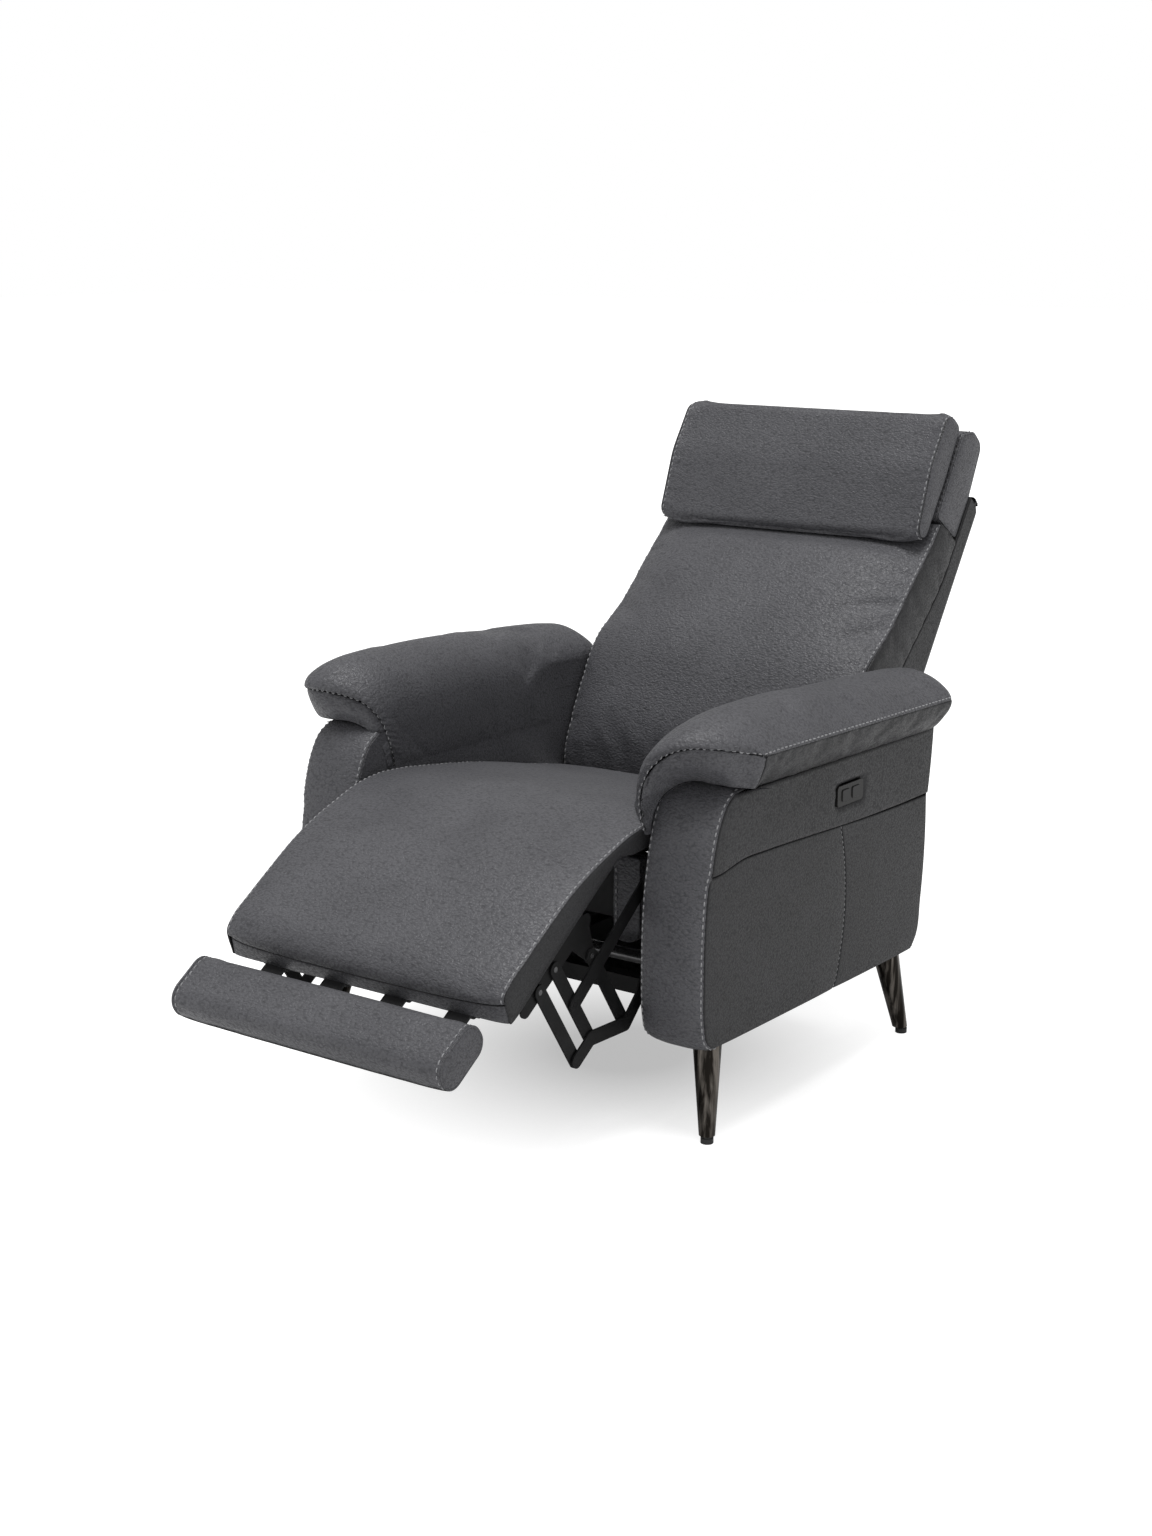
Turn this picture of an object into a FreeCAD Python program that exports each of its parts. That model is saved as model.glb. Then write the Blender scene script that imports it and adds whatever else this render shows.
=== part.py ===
"""Power recliner armchair: padded arms, chaise seat with a folding legrest, reclining back, tilting headrest.

Millimetres, +Z up, the chair faces -Y.  "left" and "right" are the sitter's, so left is +X.
The origin lies on the floor under the middle of the chair as it stands with the legrest out.
"""
import FreeCAD
import Part
import math
import os

from FreeCAD import Vector

# ---------------------------------------------------------------- driving sizes
SIDES = {"left": 1, "right": -1}

# arms
ARM_INNER_X = 274.5
ARM_WIDTH = 113.5
ARM_BOTTOM_Z = 150.0
ARM_BOARD_T = 12.0
ARM_BOARD_INSET = 4.0
ARM_BOARD_FRONT = 28.0
ARM_BOARD_REAR = 24.0
ARM_FRONT_Y = -305.0
ARM_REAR_Y = 343.0
ARM_TOP_FRONT_Z = 521.0
ARM_TOP_REAR_Z = 509.0
ARM_BAND_Z = 407.0
ARM_BAND_PROUD = 3.0
PAD_INNER_X = ARM_INNER_X - 1.5
PAD_OUTER_X = ARM_INNER_X + ARM_WIDTH + 45.0
PAD_FRONT_Y = -320.0
PAD_REAR_Y = 364.0
PAD_CORNER = 84.0
PAD_CREST_Z = 631.0
PAD_BOTTOM_Z = 478.0

# legs
LEG_FOOT_X = ARM_INNER_X + ARM_WIDTH - 20.0
LEG_FOOT_Y = {"front": -265.0, "rear": 316.0}
LEG_SPLAY_X = 20.0
LEG_SPLAY_Y = 28.0
LEG_TOP_R = 22.5
LEG_BOTTOM_R = 10.5
GLIDE_R = 9.5
GLIDE_H = 11.0
GLIDE_STEP = 1.5
LEG_PLATE = 62.0
LEG_PLATE_T = 3.0
LEG_SCREW_R = 4.0
LEG_SCREW_H = 2.4
LEG_SCREW_INSET = 9.0

# legrest and its hinge line
FOLD_Y = -309.0
FOLD_Z = 441.0
LEGREST_SLOPE = 34.0
LEGREST_FOLD = 56.0
LEGREST_HALF_W = ARM_INNER_X - 13.5
LEGREST_LENGTH = 340.0
LEGREST_START = 6.0
LEGREST_TOP = 49.0
LEGREST_FRONT_CHAMFER = 10.0
BOARD_TOP = 4.0
BOARD_T = 10.0
BOARD_START = 34.0
BOARD_END = LEGREST_LENGTH - 22.0
BOARD_HALF_W = ARM_INNER_X - 20.5

# footpad
FLIP_U = LEGREST_LENGTH - 10.0
FLIP_V = -10.0
FOOTPAD_U = LEGREST_LENGTH + 84.0
FOOTPAD_V = 28.0
FOOTPAD_LONG = 96.0
FOOTPAD_THICK = 54.0
FOOTPAD_HALF_W = 250.0
FOOTPAD_BOARD_T = 12.0
STRAP_X = (-172.0, -57.0, 57.0, 172.0)
STRAP_W = 38.0
STRAP_T = 4.0
FLIP_PIN_R = 5.0
FLIP_ROD_HALF = 200.0
FLIP_EYE_R = 8.0
FLIP_LUG_X = (4.0 - FLIP_ROD_HALF, -115.0, 0.0, 115.0, FLIP_ROD_HALF - 4.0)

# scissor links: thickness, gap between layers, pin and hole
LINK_T = 3.0
LAYER_GAP = 0.5
LINK_W = 22.0
PIN_R = 4.0
PIN_CLEAR = 0.3
RIVET_R = 7.0
RIVET_T = 1.8
RISER_Y = 80.0
RISER_Z = -122.0
FRONT_RISER_U = 225.0
FLIPPER_U = 267.0
BRACKET_V = -18.0
REAR_RISER_PIN = (-321.0, 176.0)
LINK_KNEE_L = 125.0
UPPER_LINK_SHARE = 0.5
SIDE_PLATE_GAP = 6.5

# drive
TUBE_R = 10.0
TUBE_ARM = 70.0
RAIL_W = 24.0
RAIL_H = 14.0
RAIL_Z = 219.0
RAIL_FRONT_Y = -228.0
RAIL_REAR_Y = 140.0
FORK_T = 6.0
FORK_SLACK = 0.8
CARRIAGE_L = 42.0
MOTOR_R = 24.0
MOTOR_L = 95.0

# base frame
BASE_RAIL_X = ARM_INNER_X - 24.5
BASE_RAIL_W = 14.0
BASE_RAIL_Z = 152.0
BEAM = 24.0
DUST_COVER_T = 1.2
FRONT_BEAM_Y = -193.0
REAR_BEAM_Y = 226.0
RAIL_END_GAP = 14.0
FOOT_BRACKET_Y = (-100.0, 195.0)
FOOT_BRACKET_L = 44.0
WALL_T = 2.0

# seat
SEAT_HALF_W = ARM_INNER_X - 12.5
SEAT_REAR_Y = 180.0
SEAT_REAR_TOP_Z = 402.0
SEAT_CREST_Z = 462.0
SEAT_T = 62.0
SEAT_RAIL_HALF_W = BASE_RAIL_X - 25.0
SEAT_RAIL_FRONT_Y = -214.0
SEAT_RAIL_T = 24.0
SEAT_RAIL_Z = 292.0
SEAT_CRADLE_Y = -215.0
SEAT_RAIL_INSET = 16.0
SEAT_REAR_RAIL_Z = 303.0
SEATED = 0.3
CHEEK_W = 50.0
CHEEK_FRONT_Y = -235.0
CHEEK_BOTTOM_Z = 262.0
WEBBING_W = 50.0
WEBBING_T = 3.0
WEBBING_X = (-180.0, -90.0, 0.0, 90.0, 180.0)

# back: t runs up the back, n stands out of its front
BACK_Y = 240.0
BACK_Z = 315.0
BACK_LEAN = 34.0
BACK_HALF_W = ARM_INNER_X - 3.5
SHELL_REAR_N = -124.0
SHELL_FRONT_N = -76.0
SHELL_BOTTOM_T = 60.0
SHELL_TOP_T = 685.0
SHELL_WALL = 6.0
STILE_OUTER_X = ARM_INNER_X - 13.0
STILE_W = 26.0
STILE_N = (-110.0, -76.3)
CUSHION_BOTTOM_T = 72.0
CUSHION_TOP_T = 520.0
HINGE_PIN_R = 6.0

# headrest
HEAD_T = 550.0
HEAD_N = 0.0
HEAD_BLOCK_BOTTOM_T = 601.0
HEAD_BLOCK_TOP_T = 780.0
PILLOW_REAR_N = (1.0, 15.0)
PILLOW_FRONT_N = 66.0
PILLOW_HALF_W = 257.0
HEAD_HINGE_X = 205.0
HEAD_HINGE_T = 4.0
HEAD_PIN_R = 5.0
PIVOT_ROOM_R = 12.0

# control plate on the left arm
PLATE_Y = 88.0
PLATE_Z = 454.0
PLATE_L = 77.0
PLATE_H = 32.0
PLATE_T = 3.0
PLATE_SINK = 1.5
BUTTON_L = 22.0
BUTTON_H = 18.0
BUTTON_PITCH = 30.0
BUTTON_DEPTH = 4.0
BUTTON_PROUD = 1.6
BUTTON_CLEAR = 0.5
BUTTON_WELL = 8.0
BUTTON_EASE = 0.6

OUT = "parts"


# ---------------------------------------------------------------- drawing helpers
def yz(x):
    """Places a flat outline (y, z) in the upright plane at x."""
    return lambda a, b: Vector(x, a, b)


def xy(z):
    """Places a flat outline (x, y) in the level plane at z."""
    return lambda a, b: Vector(a, b, z)


def xz(y):
    """Places a flat outline (x, z) in the upright plane at y."""
    return lambda a, b: Vector(a, y, b)


def outline(corners, place):
    """Closed wire through corners (a, b, radius), each corner rounded by its radius."""
    edges = []
    ends = []
    count = len(corners)
    for i, (a, b, radius) in enumerate(corners):
        here = Vector(a, b, 0)
        before = Vector(*corners[i - 1][:2], 0) - here
        after = Vector(*corners[(i + 1) % count][:2], 0) - here
        if radius <= 0:
            ends.append((here, None, here))
            continue
        half = before.getAngle(after) / 2
        reach = min(radius / math.tan(half), 0.49 * before.Length, 0.49 * after.Length)
        fitted = reach * math.tan(half)
        before.normalize()
        after.normalize()
        middle = before + after
        middle.normalize()
        crown = here + middle * (fitted / math.sin(half) - fitted)
        ends.append((here + before * reach, crown, here + after * reach))
    for i, (start, crown, end) in enumerate(ends):
        if crown is not None:
            edges.append(Part.Arc(place(start.x, start.y), place(crown.x, crown.y), place(end.x, end.y)).toShape())
        following = ends[(i + 1) % count][0]
        edges.append(Part.makeLine(place(end.x, end.y), place(following.x, following.y)))
    return Part.Wire(edges)


def across(corners, x0, x1):
    """Solid with a (y, z) outline, running from x0 to x1."""
    return Part.Face(outline(corners, yz(x0))).extrude(Vector(x1 - x0, 0, 0))


def along(corners, y0, y1):
    """Solid with an (x, z) outline, running from y0 to y1."""
    return Part.Face(outline(corners, xz(y0))).extrude(Vector(0, y1 - y0, 0))


def upwards(corners, z0, z1):
    """Solid with an (x, y) outline, running from z0 to z1."""
    return Part.Face(outline(corners, xy(z0))).extrude(Vector(0, 0, z1 - z0))


def block(x0, x1, y0, y1, z0, z1):
    return Part.makeBox(x1 - x0, y1 - y0, z1 - z0, Vector(x0, y0, z0))


def rod(x0, x1, point, radius):
    """Round bar along X through a (y, z) point."""
    return Part.makeCylinder(radius, x1 - x0, Vector(x0, point[0], point[1]), Vector(1, 0, 0))


def on_side(shape, side):
    """The shape as drawn on the left, or its mirror image on the right."""
    if SIDES[side] > 0:
        return shape
    return shape.mirror(Vector(0, 0, 0), Vector(1, 0, 0))


def save(name, *shapes):
    shape = shapes[0] if len(shapes) == 1 else Part.makeCompound(shapes)
    shape.exportStep(os.path.join(OUT, name + ".step"))


def both(name, shape):
    """One node for each side, named name_left and name_right."""
    for side in SIDES:
        save(name + "_" + side, on_side(shape, side))


def pair(name, *shapes):
    """One node that holds the shapes of both sides."""
    save(name, *[on_side(shape, side) for side in SIDES for shape in shapes])


def turned(point, degrees):
    """A (y, z) offset turned about +X."""
    angle = math.radians(degrees)
    y, z = point
    return (y * math.cos(angle) - z * math.sin(angle), y * math.sin(angle) + z * math.cos(angle))


def plus(a, b, share=1.0):
    return (a[0] + share * b[0], a[1] + share * b[1])


def leg_point(u, v):
    """(y, z) of a point u down the legrest from its fold line and v out of its top."""
    offset = turned((-u, v), LEGREST_SLOPE)
    return (FOLD_Y + offset[0], FOLD_Z + offset[1])


def back_point(t, n):
    """(y, z) of a point t up the back from its hinge and n out of its front."""
    offset = turned((-n, t), -BACK_LEAN)
    return (BACK_Y + offset[0], BACK_Z + offset[1])


def in_legrest(corners):
    return [leg_point(u, v) + (radius,) for u, v, radius in corners]


def in_back(corners):
    return [back_point(t, n) + (radius,) for t, n, radius in corners]


# ---------------------------------------------------------------- pivots of the scissor links
RISER = (RISER_Y, RISER_Z)
LOWER_PIVOT = plus((FOLD_Y, FOLD_Z), RISER)
UPPER_PIVOT = plus(LOWER_PIVOT, RISER, -UPPER_LINK_SHARE)
RISER_TOP = leg_point(FRONT_RISER_U, BRACKET_V)
RISER_FOOT = plus(RISER_TOP, RISER)
RISER_MIDDLE = plus(RISER_FOOT, RISER, -UPPER_LINK_SHARE)
FLIPPER_TOP = leg_point(FLIPPER_U, BRACKET_V)
FLIPPER_FOOT = plus(FLIPPER_TOP, RISER)
REAR_TOP = plus(REAR_RISER_PIN, RISER, -1)
KNEE = plus(LOWER_PIVOT, turned((0, -LINK_KNEE_L), -LEGREST_FOLD / 2))
TUBE_POINT = plus(LOWER_PIVOT, turned((0, -TUBE_ARM), -LEGREST_FOLD / 2))

# link layers, from the arm inwards
SIDE_PLATE_X = ARM_INNER_X - SIDE_PLATE_GAP
OUTER_LAYER = SIDE_PLATE_X - LINK_T - LAYER_GAP
INNER_LAYER = OUTER_LAYER - LINK_T - LAYER_GAP
BRACKET_LAYER = INNER_LAYER - LINK_T - LAYER_GAP


def bar(points, outer_x, width=LINK_W):
    """Flat link with round ends through (y, z) points; its outer face lies at outer_x."""
    inner_x = outer_x - LINK_T
    shape = rod(inner_x, outer_x, points[0], width / 2)
    for start, end in zip(points, points[1:]):
        dy = end[0] - start[0]
        dz = end[1] - start[1]
        length = math.hypot(dy, dz)
        side = (-dz / length * width / 2, dy / length * width / 2)
        corners = [plus(start, side), plus(end, side), plus(end, side, -1), plus(start, side, -1)]
        strip = across([corner + (0,) for corner in corners], inner_x, outer_x)
        shape = shape.fuse(strip).fuse(rod(inner_x, outer_x, end, width / 2))
    return shape.removeSplitter()


def drilled(shape, points, radius=PIN_R + PIN_CLEAR):
    """The plate with a pin hole at each (y, z) point."""
    for point in points:
        shape = shape.cut(rod(ARM_INNER_X - 30, ARM_INNER_X, point, radius))
    return shape


def headed_pin(x0, x1, point, head_x0, head_x1, radius=PIN_R, head=RIVET_R):
    return rod(x0, x1, point, radius).fuse(rod(head_x0, head_x1, point, head)).removeSplitter()


# ---------------------------------------------------------------- arms
def arm_profile(bottom_z):
    return [
        (ARM_FRONT_Y + 16, bottom_z, 16), (ARM_FRONT_Y, bottom_z + 50, 60), (ARM_FRONT_Y + 2, 340, 160),
        (ARM_FRONT_Y + 22, 470, 60), (ARM_FRONT_Y + 68, ARM_TOP_FRONT_Z, 50),
        (ARM_REAR_Y + 14, ARM_TOP_REAR_Z, 10), (ARM_REAR_Y + 2, ARM_BAND_Z, 6),
        (ARM_REAR_Y - 6, bottom_z + 76, 60), (ARM_REAR_Y - 16, bottom_z, 18),
    ]


def make_arms():
    top_of_board = ARM_BOTTOM_Z + ARM_BOARD_T
    outer_x = ARM_INNER_X + ARM_WIDTH
    casing = across(arm_profile(top_of_board), ARM_INNER_X, outer_x - ARM_BAND_PROUD)
    band = across(arm_profile(top_of_board), outer_x - ARM_BAND_PROUD, outer_x)
    band = band.common(block(ARM_INNER_X, outer_x, ARM_FRONT_Y, ARM_REAR_Y + 20, ARM_BAND_Z, ARM_TOP_FRONT_Z))
    casing = casing.fuse(band).removeSplitter()
    board = block(ARM_INNER_X, outer_x - ARM_BAND_PROUD - ARM_BOARD_INSET, ARM_FRONT_Y + ARM_BOARD_FRONT,
                  ARM_REAR_Y - ARM_BOARD_REAR, ARM_BOTTOM_Z, top_of_board)
    side_view = [
        (PAD_FRONT_Y + 40, PAD_BOTTOM_Z, 6), (PAD_FRONT_Y + 14, PAD_BOTTOM_Z + 4, 10),
        (PAD_FRONT_Y, PAD_BOTTOM_Z + 87, 60), (PAD_FRONT_Y + 78, PAD_CREST_Z - 4, 80),
        (PAD_FRONT_Y + 255, PAD_CREST_Z + 3, 300),
        (PAD_REAR_Y - 132, PAD_CREST_Z - 15, 260), (PAD_REAR_Y, PAD_CREST_Z - 46, 45), (PAD_REAR_Y - 4, ARM_TOP_REAR_Z, 16),
        (PAD_FRONT_Y + 315, PAD_BOTTOM_Z, 0),
    ]
    front_view = [
        (PAD_INNER_X, PAD_BOTTOM_Z, 4), (PAD_INNER_X, PAD_CREST_Z - 25, 30), (PAD_INNER_X + 79, PAD_CREST_Z + 3, 150),
        (PAD_OUTER_X - 8, PAD_CREST_Z - 27, 40), (PAD_OUTER_X, PAD_CREST_Z - 65, 12),
        (PAD_OUTER_X - 37, ARM_TOP_REAR_Z, 6), (PAD_INNER_X + 33, ARM_TOP_REAR_Z, 20),
        (PAD_INNER_X + 15, PAD_BOTTOM_Z, 8),
    ]
    pad = across(side_view, PAD_INNER_X, PAD_OUTER_X).common(along(front_view, PAD_FRONT_Y, PAD_REAR_Y))
    plan = [
        (PAD_INNER_X, PAD_FRONT_Y + 8, 12), (PAD_INNER_X + 57, PAD_FRONT_Y + 2, 60), (PAD_OUTER_X, PAD_FRONT_Y + PAD_CORNER, 24),
        (PAD_OUTER_X, PAD_REAR_Y, 30), (PAD_INNER_X, PAD_REAR_Y, 20),
    ]
    pad = pad.common(upwards(plan, PAD_BOTTOM_Z, PAD_CREST_Z + 4))
    pad = pad.cut(across(arm_profile(top_of_board), PAD_INNER_X - 1, PAD_OUTER_X + 1))
    for side in SIDES:
        casing_here = on_side(casing, side)
        if side == "left":
            casing_here = casing_here.cut(control_well())
        save("arm_casing_" + side, casing_here)
    pair("arm_base_boards", board)
    both("arm_pad", max(pad.Solids, key=lambda solid: solid.Volume))


def leg_axis(end):
    """Foot and top of a left leg's centre line, splayed out of the corner it stands in."""
    away = -1 if end == "front" else 1
    foot = Vector(LEG_FOOT_X, LEG_FOOT_Y[end], 0)
    top = Vector(LEG_FOOT_X - LEG_SPLAY_X, LEG_FOOT_Y[end] - away * LEG_SPLAY_Y, ARM_BOTTOM_Z - LEG_PLATE_T)
    return foot, top


def make_legs():
    plates = []
    glides = []
    screws = []
    for end in LEG_FOOT_Y:
        foot, top = leg_axis(end)
        axis = top - foot
        cone = Part.makeCone(LEG_BOTTOM_R, LEG_TOP_R, axis.Length + 20, foot - axis * (10 / axis.Length), axis)
        trim = block(foot.x - 90, foot.x + 60, foot.y - 90, foot.y + 90, GLIDE_H, top.z)
        pair(end + "_legs", cone.common(trim))
        glide = Part.makeCylinder(GLIDE_R - GLIDE_STEP, GLIDE_H, foot)
        glide = glide.fuse(Part.makeCylinder(GLIDE_R, GLIDE_H - 2 * GLIDE_STEP, foot)).removeSplitter()
        half = LEG_PLATE / 2
        plate = block(top.x - half, top.x + half, top.y - half, top.y + half, top.z, ARM_BOTTOM_Z)
        corner = half - LEG_SCREW_INSET
        for dx in (-corner, corner):
            for dy in (-corner, corner):
                place = Vector(top.x + dx, top.y + dy, top.z - LEG_SCREW_H)
                head = Part.Face(Part.makePolygon([place + Vector(LEG_SCREW_R * math.cos(math.pi * k / 3),
                                                                 LEG_SCREW_R * math.sin(math.pi * k / 3), 0)
                                                   for k in range(7)]))
                screws.append(head.extrude(Vector(0, 0, LEG_SCREW_H)))
        plates.append(plate)
        glides.append(glide)
    for name, shapes in (("leg_plates", plates), ("leg_glides", glides), ("leg_plate_screws", screws)):
        pair(name, *shapes)


# ---------------------------------------------------------------- fixed steel frame
def square_tube(x0, x1, y, z):
    outer = block(x0, x1, y - BEAM / 2, y + BEAM / 2, z, z + BEAM)
    inner = block(x0, x1, y - BEAM / 2 + WALL_T, y + BEAM / 2 - WALL_T, z + WALL_T, z + BEAM - WALL_T)
    return outer.cut(inner)


def make_base_frame():
    beam_z = BASE_RAIL_Z + BEAM
    rail_y0 = FRONT_BEAM_Y - RAIL_END_GAP
    rail_y1 = REAR_BEAM_Y + RAIL_END_GAP
    rail = block(BASE_RAIL_X - BASE_RAIL_W, BASE_RAIL_X, rail_y0, rail_y1, BASE_RAIL_Z, beam_z)
    hollow = block(BASE_RAIL_X - BASE_RAIL_W, BASE_RAIL_X - WALL_T, rail_y0, rail_y1,
                   BASE_RAIL_Z + WALL_T, beam_z - WALL_T)
    pair("base_rails", rail.cut(hollow))
    save("front_cross_beam", square_tube(-BASE_RAIL_X, BASE_RAIL_X, FRONT_BEAM_Y, beam_z))
    save("rear_cross_beam", square_tube(-BASE_RAIL_X, BASE_RAIL_X, REAR_BEAM_Y, beam_z))
    cover_x = BASE_RAIL_X - BASE_RAIL_W - 1
    save("dust_cover", block(-cover_x, cover_x, FRONT_BEAM_Y - BEAM / 2, REAR_BEAM_Y + BEAM / 2,
                             beam_z - DUST_COVER_T, beam_z))
    brackets = []
    for y in FOOT_BRACKET_Y:
        outer = block(BASE_RAIL_X, ARM_INNER_X, y - FOOT_BRACKET_L / 2, y + FOOT_BRACKET_L / 2, BASE_RAIL_Z, beam_z)
        hollow = block(BASE_RAIL_X, ARM_INNER_X, y - FOOT_BRACKET_L / 2 + LINK_T, y + FOOT_BRACKET_L / 2 - LINK_T,
                       BASE_RAIL_Z + LINK_T, beam_z - LINK_T)
        brackets.append(outer.cut(hollow))
    pair("arm_brackets", *brackets)


def make_side_plates():
    front, rear = FOOT_BRACKET_Y
    foot = FOOT_BRACKET_L / 2
    beam_z = BASE_RAIL_Z + BEAM
    top = UPPER_PIVOT[1] + 17
    corners = [
        (UPPER_PIVOT[0] - 19, UPPER_PIVOT[1] - 8, 14), (UPPER_PIVOT[0] - 10, top, 14), (-200, top, 40),
        (100, 352, 60), (BACK_Y + 22, BACK_Z + 22, 20), (BACK_Y + 22, BACK_Z - 24, 20),
        (rear + foot, BACK_Z - 40, 20), (rear + foot, beam_z, 3), (rear - foot, beam_z, 3),
        (rear - foot, BACK_Z - 40, 30), (front + foot, 284, 30), (front + foot, beam_z, 3),
        (front - foot, beam_z, 3), (front - foot, 280, 30), (LOWER_PIVOT[0] - 12, LOWER_PIVOT[1] - 17, 14),
    ]
    plate = across(corners, SIDE_PLATE_X - LINK_T, SIDE_PLATE_X)
    plate = drilled(plate, [LOWER_PIVOT, UPPER_PIVOT], PIN_R)
    plate = drilled(plate, [(BACK_Y, BACK_Z)], HINGE_PIN_R)
    both("seat_side_plate", plate)
    spacers = []
    for y, z in ((-190, 352), (-20, 330), (rear, BACK_Z - 4)):
        spacers.append(rod(SIDE_PLATE_X, ARM_INNER_X, (y, z), 9))
    pair("arm_spacers", *spacers)
    pins = []
    for point in (LOWER_PIVOT, UPPER_PIVOT):
        pins.append(headed_pin(OUTER_LAYER - LINK_T, SIDE_PLATE_X, point, SIDE_PLATE_X, SIDE_PLATE_X + RIVET_T))
    pins.append(headed_pin(OUTER_LAYER - LINK_T, SIDE_PLATE_X, (BACK_Y, BACK_Z), SIDE_PLATE_X,
                           SIDE_PLATE_X + RIVET_T, HINGE_PIN_R, RIVET_R + 3))
    pair("seat_pivot_pins", *pins)


# ---------------------------------------------------------------- seat
def seat_top_profile():
    """Top line of the seat from its rear edge to the crest over the fold line."""
    return [
        (SEAT_REAR_Y, SEAT_REAR_TOP_Z - SEAT_T, 8), (SEAT_REAR_Y, SEAT_REAR_TOP_Z, 22),
        (SEAT_CRADLE_Y, SEAT_CREST_Z + 3, 260), (FOLD_Y + 4, SEAT_CREST_Z - 4, 60), (FOLD_Y + 4, FOLD_Z + 3, 2),
        (FOLD_Y + 34, FOLD_Z - 34, 8), (SEAT_CRADLE_Y, SEAT_CREST_Z - SEAT_T, 60),
    ]


def deck(y):
    """Height of the webbing's top, just under the seat cushion's sloping underside."""
    slope = (SEAT_REAR_TOP_Z - SEAT_CREST_Z) / (SEAT_REAR_Y - SEAT_CRADLE_Y)
    return SEAT_REAR_TOP_Z - SEAT_T + slope * (y - SEAT_REAR_Y) - SEATED


def seat_rail(y0, y1, bottom_z, half_width):
    """A wooden cross rail whose sloping top carries the webbing."""
    return across([(y0, bottom_z, 0), (y0, deck(y0) - WEBBING_T, 0), (y1, deck(y1) - WEBBING_T, 0), (y1, bottom_z, 0)],
                  -half_width, half_width)


def make_seat():
    cushion = across(seat_top_profile(), -SEAT_HALF_W, SEAT_HALF_W)
    front_view = [
        (-SEAT_HALF_W, 300, 4), (-SEAT_HALF_W, SEAT_CREST_Z - 8, 26), (0, SEAT_CREST_Z + 6, 900),
        (SEAT_HALF_W, SEAT_CREST_Z - 8, 26), (SEAT_HALF_W, 300, 4),
    ]
    cushion = cushion.common(along(front_view, FOLD_Y - 20, SEAT_REAR_Y + 20))
    save("seat_cushion", cushion)
    belt_y0 = SEAT_RAIL_FRONT_Y
    belt_y1 = SEAT_REAR_Y - SEAT_RAIL_INSET
    save("seat_front_rail", seat_rail(belt_y0, belt_y0 + SEAT_RAIL_T, SEAT_RAIL_Z, SEAT_RAIL_HALF_W))
    save("seat_rear_rail", seat_rail(belt_y1 - SEAT_RAIL_T, belt_y1, SEAT_REAR_RAIL_Z, BASE_RAIL_X))
    cheek_top = deck(belt_y0) - WEBBING_T
    cheek = across([(CHEEK_FRONT_Y, CHEEK_BOTTOM_Z, 18), (CHEEK_FRONT_Y, cheek_top, 12),
                    (belt_y0, cheek_top, 0), (belt_y0, CHEEK_BOTTOM_Z, 4)],
                   SEAT_RAIL_HALF_W - CHEEK_W, SEAT_RAIL_HALF_W)
    pair("seat_cheeks", cheek)
    belt = [(belt_y0, deck(belt_y0), 0), (belt_y1, deck(belt_y1), 0),
            (belt_y1, deck(belt_y1) - WEBBING_T, 0), (belt_y0, deck(belt_y0) - WEBBING_T, 0)]
    runners = [across(belt, x - WEBBING_W / 2, x + WEBBING_W / 2) for x in WEBBING_X]
    save("seat_webbing", *runners)
    ear_x = SIDE_PLATE_X - LINK_T
    ear_y = belt_y0 + SEAT_RAIL_T
    ear_z0 = SEAT_RAIL_Z + 30
    ear_z1 = ear_z0 + 40
    ear = block(SEAT_RAIL_HALF_W, ear_x, ear_y + 4, ear_y + 7, ear_z0, ear_z1)
    ear = ear.fuse(block(SEAT_RAIL_HALF_W - 30, SEAT_RAIL_HALF_W, ear_y, ear_y + 7, ear_z0, ear_z1))
    rear_ear = block(BASE_RAIL_X, ear_x, belt_y1 - SEAT_RAIL_T + 2, belt_y1 - 2, SEAT_REAR_RAIL_Z + 4, SEAT_REAR_RAIL_Z + 26)
    pair("seat_rail_ears", ear.removeSplitter(), rear_ear)


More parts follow.
